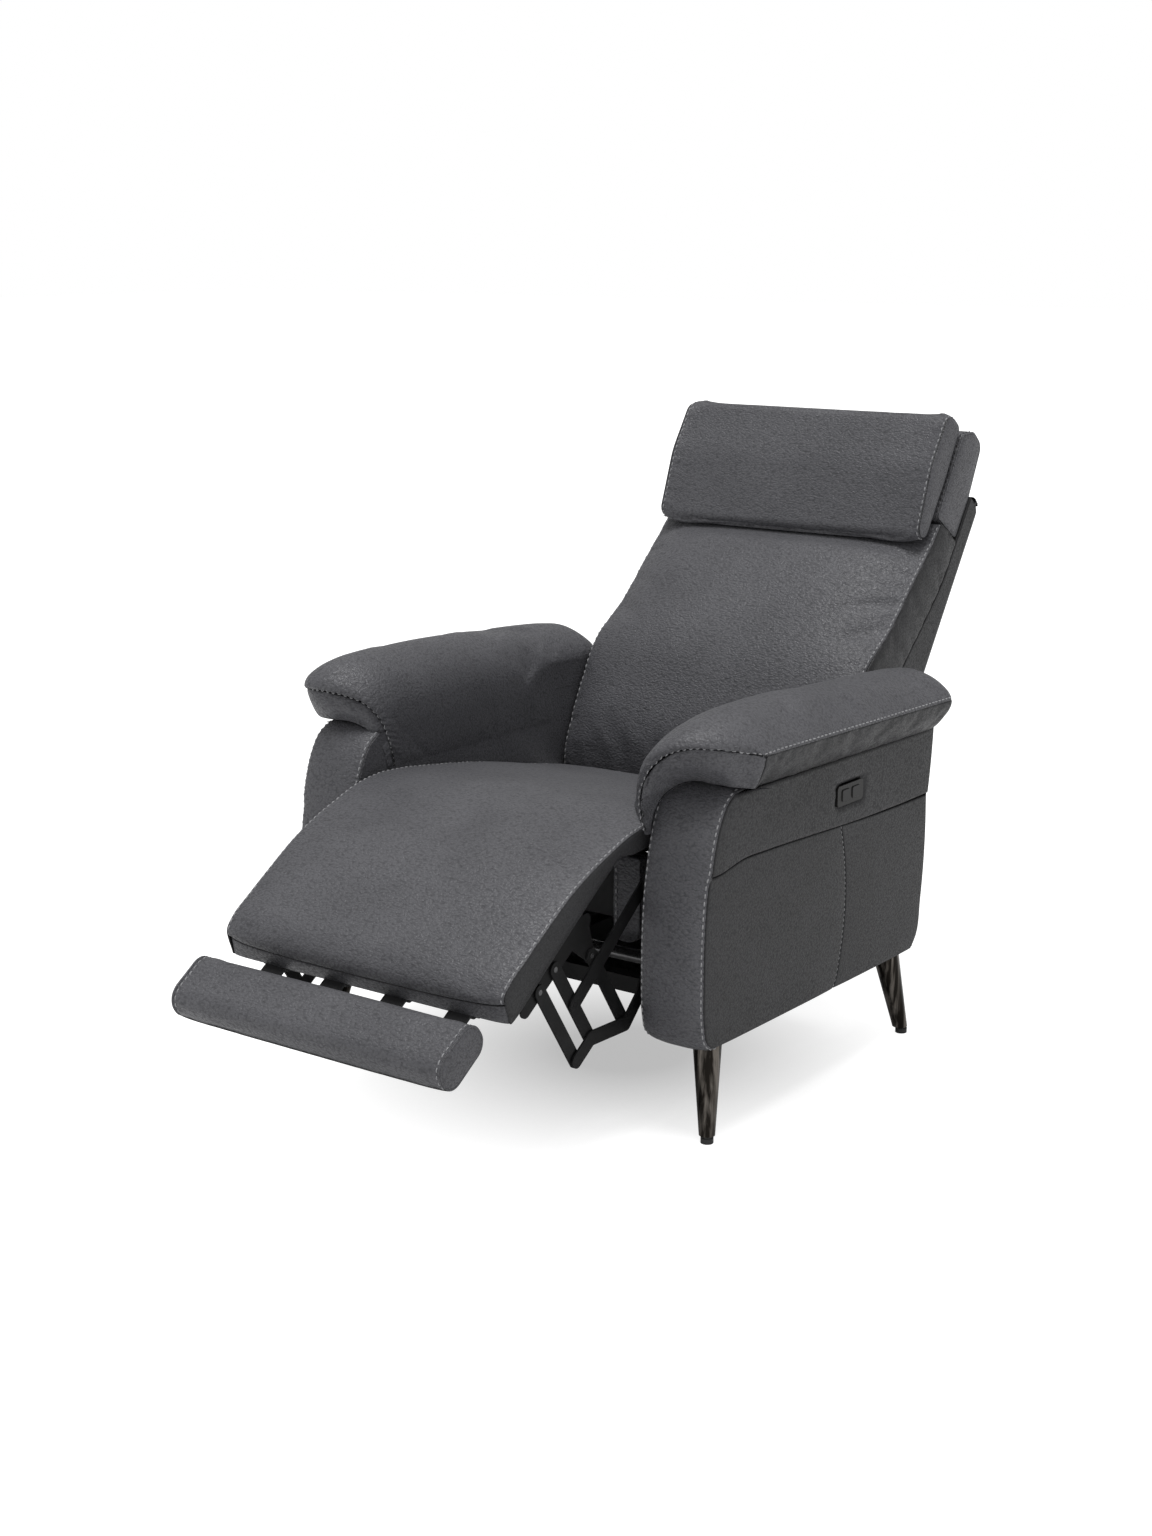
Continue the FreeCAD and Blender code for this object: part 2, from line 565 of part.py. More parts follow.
# ---------------------------------------------------------------- legrest
def make_legrest():
    board = across(in_legrest([(BOARD_START, BOARD_TOP - BOARD_T, 3), (BOARD_START, BOARD_TOP, 3),
                               (BOARD_END, BOARD_TOP, 3), (BOARD_END, BOARD_TOP - BOARD_T, 3)]),
                   -BOARD_HALF_W, BOARD_HALF_W)
    save("legrest_board", board)
    profile = in_legrest([
        (LEGREST_START, BOARD_TOP + 1, 2), (LEGREST_START, 16, 10), (95, LEGREST_TOP + 1, 160),
        (LEGREST_LENGTH - 3, LEGREST_TOP + 1, 12), (LEGREST_LENGTH, LEGREST_TOP - 14, 6),
        (LEGREST_LENGTH - LEGREST_FRONT_CHAMFER, 6, 8), (BOARD_END, BOARD_TOP, 0), (BOARD_START, BOARD_TOP, 0),
    ])
    cushion = across(profile, -LEGREST_HALF_W, LEGREST_HALF_W)
    save("legrest_cushion", cushion)
    pins = []
    bracket = bar([leg_point(FRONT_RISER_U - 90, BRACKET_V), leg_point(FLIPPER_U + 34, BRACKET_V)], BRACKET_LAYER)
    lug = across([leg_point(FRONT_RISER_U - 98, BRACKET_V + 8) + (4,),
                  leg_point(FRONT_RISER_U - 34, BRACKET_V + 8) + (4,),
                  leg_point(FRONT_RISER_U - 44, BRACKET_V - 10) + (14,),
                  plus(REAR_TOP, (-9, -5)) + (6,), plus(REAR_TOP, (0, -10)) + (6,),
                  plus(REAR_TOP, (10, 0)) + (6,)],
                 BRACKET_LAYER - LINK_T, BRACKET_LAYER)
    web = across(in_legrest([(FRONT_RISER_U - 90, BRACKET_V, 0), (FRONT_RISER_U - 90, 2, 6),
                             (FLIPPER_U + 34, 2, 6), (FLIPPER_U + 34, BRACKET_V, 0)]),
                 BRACKET_LAYER - LINK_T, BRACKET_LAYER)
    plate = bracket.fuse(web).fuse(lug).fuse(rod(BRACKET_LAYER - LINK_T, BRACKET_LAYER, REAR_TOP, LINK_W / 2))
    plate = drilled(plate.removeSplitter(), [RISER_TOP, FLIPPER_TOP, REAR_TOP], PIN_R)
    pair("legrest_brackets", plate)
    for point in (RISER_TOP, FLIPPER_TOP, REAR_TOP):
        pins.append(headed_pin(BRACKET_LAYER - LINK_T, INNER_LAYER, point,
                               BRACKET_LAYER - LINK_T - RIVET_T, BRACKET_LAYER - LINK_T))
    pair("legrest_pins", *pins)


def make_links():
    main = bar([LOWER_PIVOT, KNEE, REAR_RISER_PIN, RISER_FOOT, FLIPPER_FOOT], OUTER_LAYER)
    both("main_link", drilled(main, [LOWER_PIVOT]))
    save("drive_tube", rod(-(OUTER_LAYER - LINK_T), OUTER_LAYER - LINK_T, TUBE_POINT, TUBE_R))
    pins = []
    for point in (REAR_RISER_PIN, RISER_FOOT, FLIPPER_FOOT):
        pin = headed_pin(INNER_LAYER - LINK_T, OUTER_LAYER - LINK_T, point,
                         INNER_LAYER - LINK_T - LAYER_GAP / 2, INNER_LAYER - LINK_T, PIN_R, PIN_R)
        pins.append(pin)
    pair("main_link_pins", *pins)
    pair("upper_links", drilled(bar([UPPER_PIVOT, RISER_MIDDLE], OUTER_LAYER), [UPPER_PIVOT, RISER_MIDDLE]))
    pair("rear_risers", drilled(bar([REAR_RISER_PIN, REAR_TOP], INNER_LAYER), [REAR_RISER_PIN, REAR_TOP]))
    riser = drilled(bar([RISER_FOOT, RISER_TOP], INNER_LAYER), [RISER_FOOT, RISER_TOP])
    stud = rod(INNER_LAYER, OUTER_LAYER, RISER_MIDDLE, PIN_R)
    pair("front_risers", riser.fuse(stud))
    pair("flipper_links", drilled(bar([FLIPPER_FOOT, FLIPPER_TOP], INNER_LAYER), [FLIPPER_FOOT, FLIPPER_TOP]))


# ---------------------------------------------------------------- footpad
def make_footpad():
    half_l = FOOTPAD_LONG / 2
    half_t = FOOTPAD_THICK / 2
    u0, u1 = FOOTPAD_U - half_l, FOOTPAD_U + half_l
    v0, v1 = FOOTPAD_V - half_t, FOOTPAD_V + half_t
    pad = across(in_legrest([(u0 + 4, v0, 22), (u0, v1, 26), (u1 - 4, v1, 22), (u1, v0, 26)]),
                 -FOOTPAD_HALF_W, FOOTPAD_HALF_W)
    core = across(in_legrest([(u0 + 14, FOOTPAD_V - FOOTPAD_BOARD_T, 2), (u0 + 14, FOOTPAD_V, 2),
                              (u1 - 18, FOOTPAD_V, 2), (u1 - 18, FOOTPAD_V - FOOTPAD_BOARD_T, 2)]),
                  -FOOTPAD_HALF_W + 12, FOOTPAD_HALF_W - 12)
    straps = []
    pivot = leg_point(FLIP_U, FLIP_V)
    low = FOOTPAD_V - FOOTPAD_BOARD_T
    for x in STRAP_X:
        flat = in_legrest([
            (FLIP_U, FLIP_V + 1, 0), (FLIP_U, FLIP_V + 1 + STRAP_T, 0), (FLIP_U + 22, FLIP_V + 1 + STRAP_T, 8),
            (u0 + 14, low, 6), (u0 + 40, low, 0), (u0 + 40, low - STRAP_T, 0), (u0 + 16, low - STRAP_T, 6),
            (FLIP_U + 24, FLIP_V + 1, 8),
        ])
        strap = across(flat, x - STRAP_W / 2, x + STRAP_W / 2)
        strap = strap.fuse(rod(x - STRAP_W / 2, x + STRAP_W / 2, pivot, FLIP_EYE_R))
        strap = strap.cut(rod(x - STRAP_W, x + STRAP_W, pivot, FLIP_PIN_R + PIN_CLEAR)).removeSplitter()
        straps.append(strap)
        pad = pad.cut(strap)
    pad = pad.cut(core)
    save("footpad_cushion", pad)
    save("footpad_board", core)
    save("footpad_straps", *straps)
    hinge = rod(-FLIP_ROD_HALF, FLIP_ROD_HALF, pivot, FLIP_PIN_R)
    board_v = BOARD_TOP - BOARD_T
    for x in FLIP_LUG_X:
        lug = across(in_legrest([(FLIP_U - 46, board_v, 0), (FLIP_U - 46, board_v - 6, 4), (FLIP_U, board_v - FLIP_EYE_R, 8),
                                 (FLIP_U + FLIP_EYE_R, board_v, 7), (FLIP_U, board_v + FLIP_EYE_R, 7),
                                 (BOARD_END + 1, board_v, 0)]), x - LINK_T, x + LINK_T)
        hinge = hinge.fuse(lug)
    save("footpad_hinge", hinge.removeSplitter())


# ---------------------------------------------------------------- drive
def make_drive():
    rail_top = RAIL_Z + RAIL_H / 2
    rail_bottom = RAIL_Z - RAIL_H / 2
    half_w = RAIL_W / 2
    beam_top = BASE_RAIL_Z + 2 * BEAM
    rail = block(-half_w, half_w, RAIL_FRONT_Y, RAIL_REAR_Y, rail_bottom, rail_top)
    post = block(-half_w + 2, half_w - 2, FRONT_BEAM_Y - BEAM / 2 + 2, FRONT_BEAM_Y + BEAM / 2 - 2, beam_top, rail_bottom)
    save("actuator_rail", rail.fuse(post).removeSplitter())
    gearbox = block(-34, 34, RAIL_REAR_Y, RAIL_REAR_Y + 62, RAIL_Z - 19, RAIL_Z + 38)
    clevis = block(-16, 16, RAIL_REAR_Y + 62, REAR_BEAM_Y - BEAM / 2, beam_top, RAIL_Z + 20)
    motor = Part.makeCylinder(MOTOR_R, MOTOR_L, Vector(34, RAIL_REAR_Y + 31, RAIL_Z + 10), Vector(1, 0, 0))
    save("actuator_gearbox", gearbox.fuse(clevis).removeSplitter())
    save("actuator_motor", motor)
    fork_y = TUBE_POINT[0]
    slot = TUBE_R + FORK_SLACK
    floor_z = LOWER_PIVOT[1] - TUBE_ARM - TUBE_R - 3
    prong_z = TUBE_POINT[1] + 6
    block_y0 = RAIL_FRONT_Y + 3
    body = block(-half_w - 6, half_w + 6, block_y0, block_y0 + CARRIAGE_L, rail_bottom, rail_top + 6)
    tunnel = block(-half_w - PIN_CLEAR, half_w + PIN_CLEAR, block_y0 - 1, block_y0 + CARRIAGE_L + 1,
                   rail_bottom - 1, rail_top + PIN_CLEAR)
    arm = block(-half_w - 6, half_w + 6, fork_y - slot - FORK_T, block_y0 + CARRIAGE_L, rail_top + 3, floor_z)
    fork = block(-half_w - 6, half_w + 6, fork_y - slot - FORK_T, fork_y + slot + FORK_T, rail_top + 3, prong_z)
    fork = fork.cut(block(-half_w - 7, half_w + 7, fork_y - slot, fork_y + slot, floor_z, prong_z + 1))
    save("actuator_carriage", body.cut(tunnel).fuse(arm).fuse(fork).removeSplitter())
    inlet = block(-150, -116, REAR_BEAM_Y + BEAM / 2, REAR_BEAM_Y + BEAM / 2 + 30, beam_top - 24, beam_top - 2)
    socket = Part.makeCylinder(5, 14, Vector(-133, REAR_BEAM_Y + BEAM / 2 + 30, beam_top - 13), Vector(0, -1, 0))
    save("power_inlet", inlet.cut(socket))


# ---------------------------------------------------------------- back
def make_back():
    frame_x = STILE_OUTER_X
    stile = across(in_back([(10, STILE_N[0], 4), (10, STILE_N[1], 4), (620, STILE_N[1], 4), (620, STILE_N[0], 4)]),
                   frame_x - STILE_W, frame_x)
    pair("back_stiles", stile)
    rails = []
    for t in (90, 560):
        rail = across(in_back([(t, STILE_N[0] + 3, 0), (t, STILE_N[1] - 3, 0), (t + 50, STILE_N[1] - 3, 0),
                               (t + 50, STILE_N[0] + 3, 0)]), -(frame_x - STILE_W), frame_x - STILE_W)
        rails.append(rail)
    save("back_rails", *rails)
    bands = []
    for t in (190, 280, 370, 460):
        bands.append(across(in_back([(t, STILE_N[1] - 2, 0), (t, STILE_N[1], 0), (t + WEBBING_W, STILE_N[1], 0),
                                     (t + WEBBING_W, STILE_N[1] - 2, 0)]), -(frame_x - STILE_W), frame_x - STILE_W))
    save("back_webbing", *bands)
    arm = across(in_back([(-18, 16, 14), (-18, -40, 30), (0, STILE_N[0], 20), (170, STILE_N[0], 8),
                          (170, STILE_N[1], 8), (62, STILE_N[1], 30), (18, -10, 20), (18, 16, 14)]),
                 OUTER_LAYER - LINK_T, OUTER_LAYER)
    pair("back_hinge_arms", drilled(arm, [(BACK_Y, BACK_Z)], HINGE_PIN_R + PIN_CLEAR))
    shell_outer = across(in_back([(SHELL_BOTTOM_T, SHELL_REAR_N, 26), (SHELL_BOTTOM_T, SHELL_FRONT_N, 0),
                                  (SHELL_TOP_T, SHELL_FRONT_N, 14), (SHELL_TOP_T, SHELL_REAR_N, 26)]),
                         -BACK_HALF_W, BACK_HALF_W)
    hollow = across(in_back([(SHELL_BOTTOM_T - 1, SHELL_REAR_N + 12, 4), (SHELL_BOTTOM_T - 1, SHELL_FRONT_N + 1, 0),
                             (SHELL_TOP_T - 14, SHELL_FRONT_N + 1, 0), (SHELL_TOP_T - 14, SHELL_REAR_N + 12, 4)]),
                    -(BACK_HALF_W - SHELL_WALL), BACK_HALF_W - SHELL_WALL)
    save("back_shell", shell_outer.cut(hollow))
    front = [
        (CUSHION_BOTTOM_T, SHELL_FRONT_N, 4), (CUSHION_BOTTOM_T, 60, 30), (130, 78, 90), (275, 88, 160),
        (430, 60, 200), (CUSHION_TOP_T, 18, 24), (CUSHION_TOP_T + 8, -8, 4),
        (HEAD_BLOCK_BOTTOM_T - 4, -8, 4), (HEAD_BLOCK_BOTTOM_T - 4, SHELL_FRONT_N, 4),
    ]
    cushion = across(in_back(front), -BACK_HALF_W, BACK_HALF_W)
    for side in SIDES:
        cushion = cushion.cut(on_side(head_bracket_room(), side))
    save("back_cushion", cushion)


def head_bracket_room():
    x0 = HEAD_HINGE_X - HEAD_HINGE_T - 2
    x1 = HEAD_HINGE_X + 2 * HEAD_HINGE_T + 2
    return across(in_back([(HEAD_T - 18, SHELL_FRONT_N - 1, 0), (HEAD_T - 18, HEAD_N + 20, 0),
                           (HEAD_T + 90, HEAD_N + 20, 0), (HEAD_T + 90, SHELL_FRONT_N - 1, 0)]), x0, x1)


def pillow_rear(t):
    """How far out of the back's front the pillow's rear face lies at t."""
    return PILLOW_REAR_N[0] + (t - HEAD_T) / (HEAD_BLOCK_TOP_T - HEAD_T) * (PILLOW_REAR_N[1] - PILLOW_REAR_N[0])


def make_headrest():
    profile = in_back([
        (HEAD_BLOCK_BOTTOM_T, SHELL_FRONT_N + 1, 3), (HEAD_BLOCK_BOTTOM_T, pillow_rear(HEAD_BLOCK_BOTTOM_T) - SEATED, 3),
        (HEAD_BLOCK_TOP_T - 12, pillow_rear(HEAD_BLOCK_TOP_T - 12) - SEATED, 8), (HEAD_BLOCK_TOP_T, -12, 14),
        (HEAD_BLOCK_TOP_T - 2, -62, 18),
        (SHELL_TOP_T + 4, SHELL_FRONT_N - 9, 8), (SHELL_TOP_T + 1, SHELL_FRONT_N + 1, 2),
    ])
    head_block = across(profile, -(BACK_HALF_W - 4), BACK_HALF_W - 4)
    moving = across(in_back([(HEAD_T - 10, HEAD_N - 8, 6), (HEAD_T - 10, HEAD_N + 4, 6),
                             (HEAD_BLOCK_BOTTOM_T + 90, HEAD_N + 2, 3), (HEAD_BLOCK_BOTTOM_T + 90, HEAD_N - 8, 3)]),
                    HEAD_HINGE_X, HEAD_HINGE_X + HEAD_HINGE_T)
    moving = moving.cut(rod(HEAD_HINGE_X - 1, HEAD_HINGE_X + HEAD_HINGE_T + 1, back_point(HEAD_T, HEAD_N - 2),
                            HEAD_PIN_R + PIN_CLEAR))
    pillow = across(in_back([
        (HEAD_T - 12, PILLOW_FRONT_N - 30, 20), (HEAD_T + 4, pillow_rear(HEAD_T + 4), 12),
        (HEAD_BLOCK_TOP_T - 12, pillow_rear(HEAD_BLOCK_TOP_T - 12), 12),
        (HEAD_BLOCK_TOP_T - 2, PILLOW_FRONT_N, 26), (HEAD_T + 110, PILLOW_FRONT_N - 2, 200),
    ]), -PILLOW_HALF_W, PILLOW_HALF_W)
    fixed = across(in_back([(HEAD_T - 9, HEAD_N - 11, 6), (HEAD_T - 9, HEAD_N + 5, 6), (HEAD_T + 8, HEAD_N + 5, 6),
                            (HEAD_T + 34, HEAD_N - 60, 20), (HEAD_T + 44, STILE_N[1] - 3, 0),
                            (HEAD_T + 12, STILE_N[1] - 3, 0)]),
                   HEAD_HINGE_X - HEAD_HINGE_T - PIN_CLEAR, HEAD_HINGE_X - PIN_CLEAR)
    pin = rod(HEAD_HINGE_X - HEAD_HINGE_T - PIN_CLEAR, HEAD_HINGE_X + HEAD_HINGE_T, back_point(HEAD_T, HEAD_N - 2), HEAD_PIN_R)
    fixed = fixed.fuse(pin).removeSplitter()
    for side in SIDES:
        head_block = head_block.cut(on_side(moving, side))
        pillow = pillow.cut(on_side(moving, side))
        pillow = pillow.cut(on_side(rod(HEAD_HINGE_X - 6, HEAD_HINGE_X + 6, back_point(HEAD_T, HEAD_N - 2), PIVOT_ROOM_R), side))
    save("headrest_block", head_block)
    save("headrest_pillow", pillow)
    pair("headrest_hinge_arms", moving)
    pair("headrest_hinge_brackets", fixed)


# ---------------------------------------------------------------- control plate
def control_outline(length, height, radius, centre_y=PLATE_Y):
    y0, y1 = centre_y - length / 2, centre_y + length / 2
    z0, z1 = PLATE_Z - height / 2, PLATE_Z + height / 2
    return [(y0, z0, radius), (y1, z0, radius), (y1, z1, radius), (y0, z1, radius)]


def button_centres():
    return {"up": PLATE_Y - BUTTON_PITCH / 2, "down": PLATE_Y + BUTTON_PITCH / 2}


def control_well():
    outer_x = ARM_INNER_X + ARM_WIDTH
    return across(control_outline(PLATE_L - 8, PLATE_H - 8, 4), outer_x - BUTTON_WELL - 2, outer_x + 1).fuse(
        across(control_outline(PLATE_L, PLATE_H, 6), outer_x - PLATE_SINK, outer_x + 1))


def make_controls():
    outer_x = ARM_INNER_X + ARM_WIDTH
    plate = across(control_outline(PLATE_L, PLATE_H, 6), outer_x - PLATE_SINK, outer_x - PLATE_SINK + PLATE_T)
    tray = across(control_outline(PLATE_L - 8, PLATE_H - 8, 4), outer_x - BUTTON_WELL - 2, outer_x - PLATE_SINK)
    plate = plate.fuse(tray).removeSplitter()
    for name, y in button_centres().items():
        well = across(control_outline(BUTTON_L + 2 * BUTTON_CLEAR, BUTTON_H + 2 * BUTTON_CLEAR, 4, y),
                      outer_x - BUTTON_WELL, outer_x + PLATE_T)
        plate = plate.cut(well)
        face_x = outer_x - PLATE_SINK + PLATE_T + BUTTON_PROUD
        button = across(control_outline(BUTTON_L, BUTTON_H, 3.5, y), face_x - BUTTON_DEPTH - BUTTON_PROUD, face_x)
        button = button.makeChamfer(BUTTON_EASE, [edge for edge in button.Edges if edge.BoundBox.XMin > face_x - 0.01])
        save("button_" + name, button)
    save("control_plate", plate)


def main():
    os.makedirs(OUT, exist_ok=True)
    make_arms()
    make_legs()
    make_base_frame()
    make_side_plates()
    make_seat()
    make_legrest()
    make_links()
    make_footpad()
    make_drive()
    make_back()
    make_headrest()
    make_controls()


main()
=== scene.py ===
"""Recliner armchair: leather, stitching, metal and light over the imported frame."""
import math

import bpy
import numpy as np
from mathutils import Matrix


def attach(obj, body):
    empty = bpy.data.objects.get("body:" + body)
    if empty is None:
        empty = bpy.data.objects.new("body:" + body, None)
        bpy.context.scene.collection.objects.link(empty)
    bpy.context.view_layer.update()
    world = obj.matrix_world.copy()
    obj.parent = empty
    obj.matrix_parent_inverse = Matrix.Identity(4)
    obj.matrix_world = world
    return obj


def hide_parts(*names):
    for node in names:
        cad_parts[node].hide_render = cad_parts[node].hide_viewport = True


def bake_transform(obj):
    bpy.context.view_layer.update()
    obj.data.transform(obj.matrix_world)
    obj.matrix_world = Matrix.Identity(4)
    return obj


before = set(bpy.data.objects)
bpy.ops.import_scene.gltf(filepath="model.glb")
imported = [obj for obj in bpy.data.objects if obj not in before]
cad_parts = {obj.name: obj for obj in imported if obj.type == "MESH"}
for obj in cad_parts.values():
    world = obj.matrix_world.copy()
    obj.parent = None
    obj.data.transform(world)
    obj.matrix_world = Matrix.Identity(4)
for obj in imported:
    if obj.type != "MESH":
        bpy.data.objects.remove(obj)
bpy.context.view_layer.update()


# ---------------- legs
# Four tapered steel legs, splayed out of the corners and lacquered a glossy bronze black. Each is welded
# to a square plate that four hexagon screws hold to the arm's bottom board, and stands on a nylon glide.
def node(tree, kind, inputs, **settings):
    """Adds a shader node. inputs gives each socket a plain value or another node's output."""
    added = tree.nodes.new("ShaderNode" + kind)
    for name, value in settings.items():
        setattr(added, name, value)
    for name, value in inputs.items():
        if isinstance(value, bpy.types.NodeSocket):
            tree.links.new(value, added.inputs[name])
        else:
            added.inputs[name].default_value = value
    return added


def new_material(name, colour, roughness, metallic=0.0):
    material = bpy.data.materials.new(name)
    material.use_nodes = True
    shader = material.node_tree.nodes["Principled BSDF"]
    shader.inputs["Base Color"].default_value = colour + (1.0,)
    shader.inputs["Roughness"].default_value = roughness
    shader.inputs["Metallic"].default_value = metallic
    return material, material.node_tree, shader


def own_metres(tree):
    """The object's own metres, so that a pattern sits still on the piece."""
    return node(tree, "TexCoord", {}).outputs["Object"]


def noise(tree, scale, detail=3.0, rough=0.5, where=None):
    return node(tree, "TexNoise", {"Scale": scale, "Detail": detail, "Roughness": rough,
                                   "Vector": where or own_metres(tree)})


def between(tree, source, low, high, from_low=0.3, from_high=0.7):
    """Stretches from_low to from_high onto low to high."""
    limits = {"From Min": from_low, "From Max": from_high, "To Min": low, "To Max": high}
    return node(tree, "MapRange", {"Value": source, **limits}).outputs["Result"]


def colour_ramp(tree, source, dark, light, low=0.3, high=0.7):
    ramp = node(tree, "ValToRGB", {"Fac": source})
    for end, place, colour in zip(ramp.color_ramp.elements, (low, high), (dark, light)):
        end.position = place
        end.color = colour + (1.0,)
    return ramp.outputs["Color"]


def bump(tree, shader, height, strength, distance, before=None):
    """Raises the surface by height, over the relief of an earlier bump if one is given."""
    inputs = {"Strength": strength, "Distance": distance, "Height": height}
    if before is not None:
        inputs["Normal"] = before
    relief = node(tree, "Bump", inputs).outputs["Normal"]
    tree.links.new(relief, shader.inputs["Normal"])
    return relief


def coated(name, dark, light, roughness, grain_scale, grain_depth, metallic=0.0, specular=0.5):
    """Lacquer, powder coat, plating, thread or plastic: cloudy colour, uneven gloss, a fine orange peel."""
    material, tree, shader = new_material(name, dark, roughness, metallic)
    clouds = noise(tree, 35.0, 4.0).outputs["Fac"]
    tree.links.new(colour_ramp(tree, clouds, dark, light), shader.inputs["Base Color"])
    tree.links.new(between(tree, clouds, roughness * 0.8, roughness * 1.25), shader.inputs["Roughness"])
    shader.inputs["Specular IOR Level"].default_value = specular
    bump(tree, shader, noise(tree, grain_scale, 2.0).outputs["Fac"], 0.35, grain_depth)
    return material


def streaked_metal_with_painted_highlights(name, dark, light, roughness):
    """Lacquered steel tube: fine streaks drawn down its length under a hard clear gloss; their lighter
    colour is painted highlights standing in for reflections down the tube.
    """
    material, tree, shader = new_material(name, dark, roughness, 1.0)
    along = node(tree, "Mapping", {"Scale": (1.0, 1.0, 0.02), "Vector": own_metres(tree)})
    drawn_streaks_and_painted_highlights = noise(tree, 130.0, where=along.outputs["Vector"]).outputs["Fac"]
    # Painted highlights: the streaks lighten the colour as reflections down the tube would.
    tree.links.new(colour_ramp(tree, drawn_streaks_and_painted_highlights, dark, light, 0.42, 0.62), shader.inputs["Base Color"])
    bump(tree, shader, drawn_streaks_and_painted_highlights, 0.4, 0.0002)
    return material


def finish_nodes(material, *names):
    for name in names:
        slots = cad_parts[name].data.materials
        slots.clear()
        slots.append(material)


finish_nodes(streaked_metal_with_painted_highlights("leg_lacquer", (0.016, 0.014, 0.012), (0.15, 0.135, 0.12), 0.16),
             "front_legs", "rear_legs")
finish_nodes(coated("screw_zinc", (0.20, 0.20, 0.20), (0.32, 0.32, 0.31), 0.4, 1500.0, 0.00004,
                    metallic=0.9), "leg_plate_screws")
finish_nodes(coated("glide_nylon", (0.012, 0.012, 0.012), (0.022, 0.022, 0.022), 0.5, 1200.0, 0.00005),
             "leg_glides")


# ---------------- base frame and scissor linkage
# Square steel tube between the arms, laser-cut side plates, and flat links on shouldered rivets.
# All of it is powder coated satin black after welding, with a faint grey wear on the rivet heads.
powder_coat = coated("powder_coat", (0.003, 0.003, 0.0032), (0.007, 0.007, 0.0073), 0.45, 1400.0,
                     0.00007, specular=0.18)
finish_nodes(powder_coat, "leg_plates", "base_rails", "front_cross_beam", "rear_cross_beam",
             "arm_brackets", "seat_side_plate_left", "seat_side_plate_right", "arm_spacers",
             "seat_rail_ears", "main_link_left", "main_link_right", "upper_links", "rear_risers",
             "front_risers", "flipper_links", "legrest_brackets", "footpad_hinge", "back_hinge_arms",
             "headrest_hinge_arms", "headrest_hinge_brackets", "actuator_rail")
rivet_steel = coated("rivet_steel", (0.08, 0.08, 0.082), (0.17, 0.17, 0.172), 0.25, 1600.0, 0.00004,
                     metallic=0.9)
finish_nodes(rivet_steel, "main_link_pins", "legrest_pins", "seat_pivot_pins", "drive_tube")


# ---------------- electric drive
# A motor and gearbox on the rear beam turn a screw inside the rail. The nut carriage on the rail pushes
# the cross tube of the linkage. Housings are black glass-filled nylon, the inlet is moulded in one piece.
finish_nodes(coated("nylon_housing", (0.018, 0.018, 0.019), (0.034, 0.034, 0.035), 0.55, 1100.0, 0.00012),
             "actuator_gearbox", "actuator_motor", "actuator_carriage", "power_inlet")


# ---------------- wooden frame and webbing
# The back's rails are bare birch plywood; the stiles, boards and seat rails are wrapped in thin black
# cloth, which also closes the underside. Black elastic belts spring the seat and the back.
def bare_wood(name):
    """Long streaks of grain along the board."""
    material, tree, shader = new_material(name, (0.5, 0.36, 0.22), 0.6)
    along = node(tree, "Mapping", {"Scale": (3.0, 40.0, 40.0), "Vector": own_metres(tree)})
    rings = noise(tree, 6.0, 6.0, where=along.outputs["Vector"]).outputs["Fac"]
    colour = colour_ramp(tree, rings, (0.34, 0.22, 0.12), (0.62, 0.46, 0.29))
    tree.links.new(colour, shader.inputs["Base Color"])
    bump(tree, shader, rings, 0.4, 0.0003)
    return material


def woven(name, dark, light, pitch, depth):
    """Plain weave: two crossed sets of ribs, pitch metres apart."""
    material, tree, shader = new_material(name, dark, 0.85)
    where = own_metres(tree)
    ribs = [node(tree, "TexWave", {"Scale": 0.314 / pitch, "Distortion": 0.4, "Vector": where},
                 bands_direction=direction).outputs["Fac"] for direction in ("X", "Y")]
    crossed = node(tree, "Math", {0: ribs[0], 1: ribs[1]}, operation="MULTIPLY").outputs["Value"]
    tree.links.new(colour_ramp(tree, crossed, dark, light, 0.0, 1.0), shader.inputs["Base Color"])
    bump(tree, shader, crossed, 0.6, depth)
    return material


finish_nodes(bare_wood("birch_ply"), "back_rails")
finish_nodes(woven("belt_weave", (0.012, 0.012, 0.012), (0.05, 0.05, 0.05), 0.0022, 0.0005),
             "seat_webbing", "back_webbing")
finish_nodes(woven("dust_cloth", (0.012, 0.012, 0.013), (0.03, 0.03, 0.032), 0.0012, 0.0002),
             "back_stiles", "arm_base_boards", "legrest_board", "footpad_board", "footpad_straps",
             "dust_cover", "seat_front_rail", "seat_rear_rail")


# ---------------- arm boxes
# Each arm is a foam-wrapped plywood box under pebbled charcoal leather: a crowned band round the front,
# an overlapping upper band and two lower panels outside, and plain panels inside and behind. Panels are
# turned in and sewn edge to edge, then topstitched in a lighter thread along the front band.
def curve(points, count):
    """A smooth curve through the points, cut to count evenly spaced ones."""
    points = np.array(points, float)
    gaps = np.linalg.norm(np.diff(points, axis=0), axis=1)
    slopes = np.diff(points, axis=0) / gaps[:, None]
    tangents = np.empty_like(points)
    share = gaps[:-1, None] / (gaps[:-1, None] + gaps[1:, None])
    tangents[1:-1] = slopes[:-1] * (1 - share) + slopes[1:] * share
    tangents[0] = 2 * slopes[0] - tangents[1]
    tangents[-1] = 2 * slopes[-1] - tangents[-2]
    fine = [points[:1]]
    t = np.linspace(0, 1, 25)[1:, None]
    for i, gap in enumerate(gaps):
        fine.append((2 * t**3 - 3 * t**2 + 1) * points[i] + (t**3 - 2 * t**2 + t) * gap * tangents[i]
                    + (3 * t**2 - 2 * t**3) * points[i + 1] + (t**3 - t**2) * gap * tangents[i + 1])
    return spaced(np.vstack(fine), np.linspace(0, 1, count))


def walked_along(path):
    """The length walked to each point of a path."""
    return np.r_[0, np.cumsum(np.linalg.norm(np.diff(path, axis=0), axis=1))]


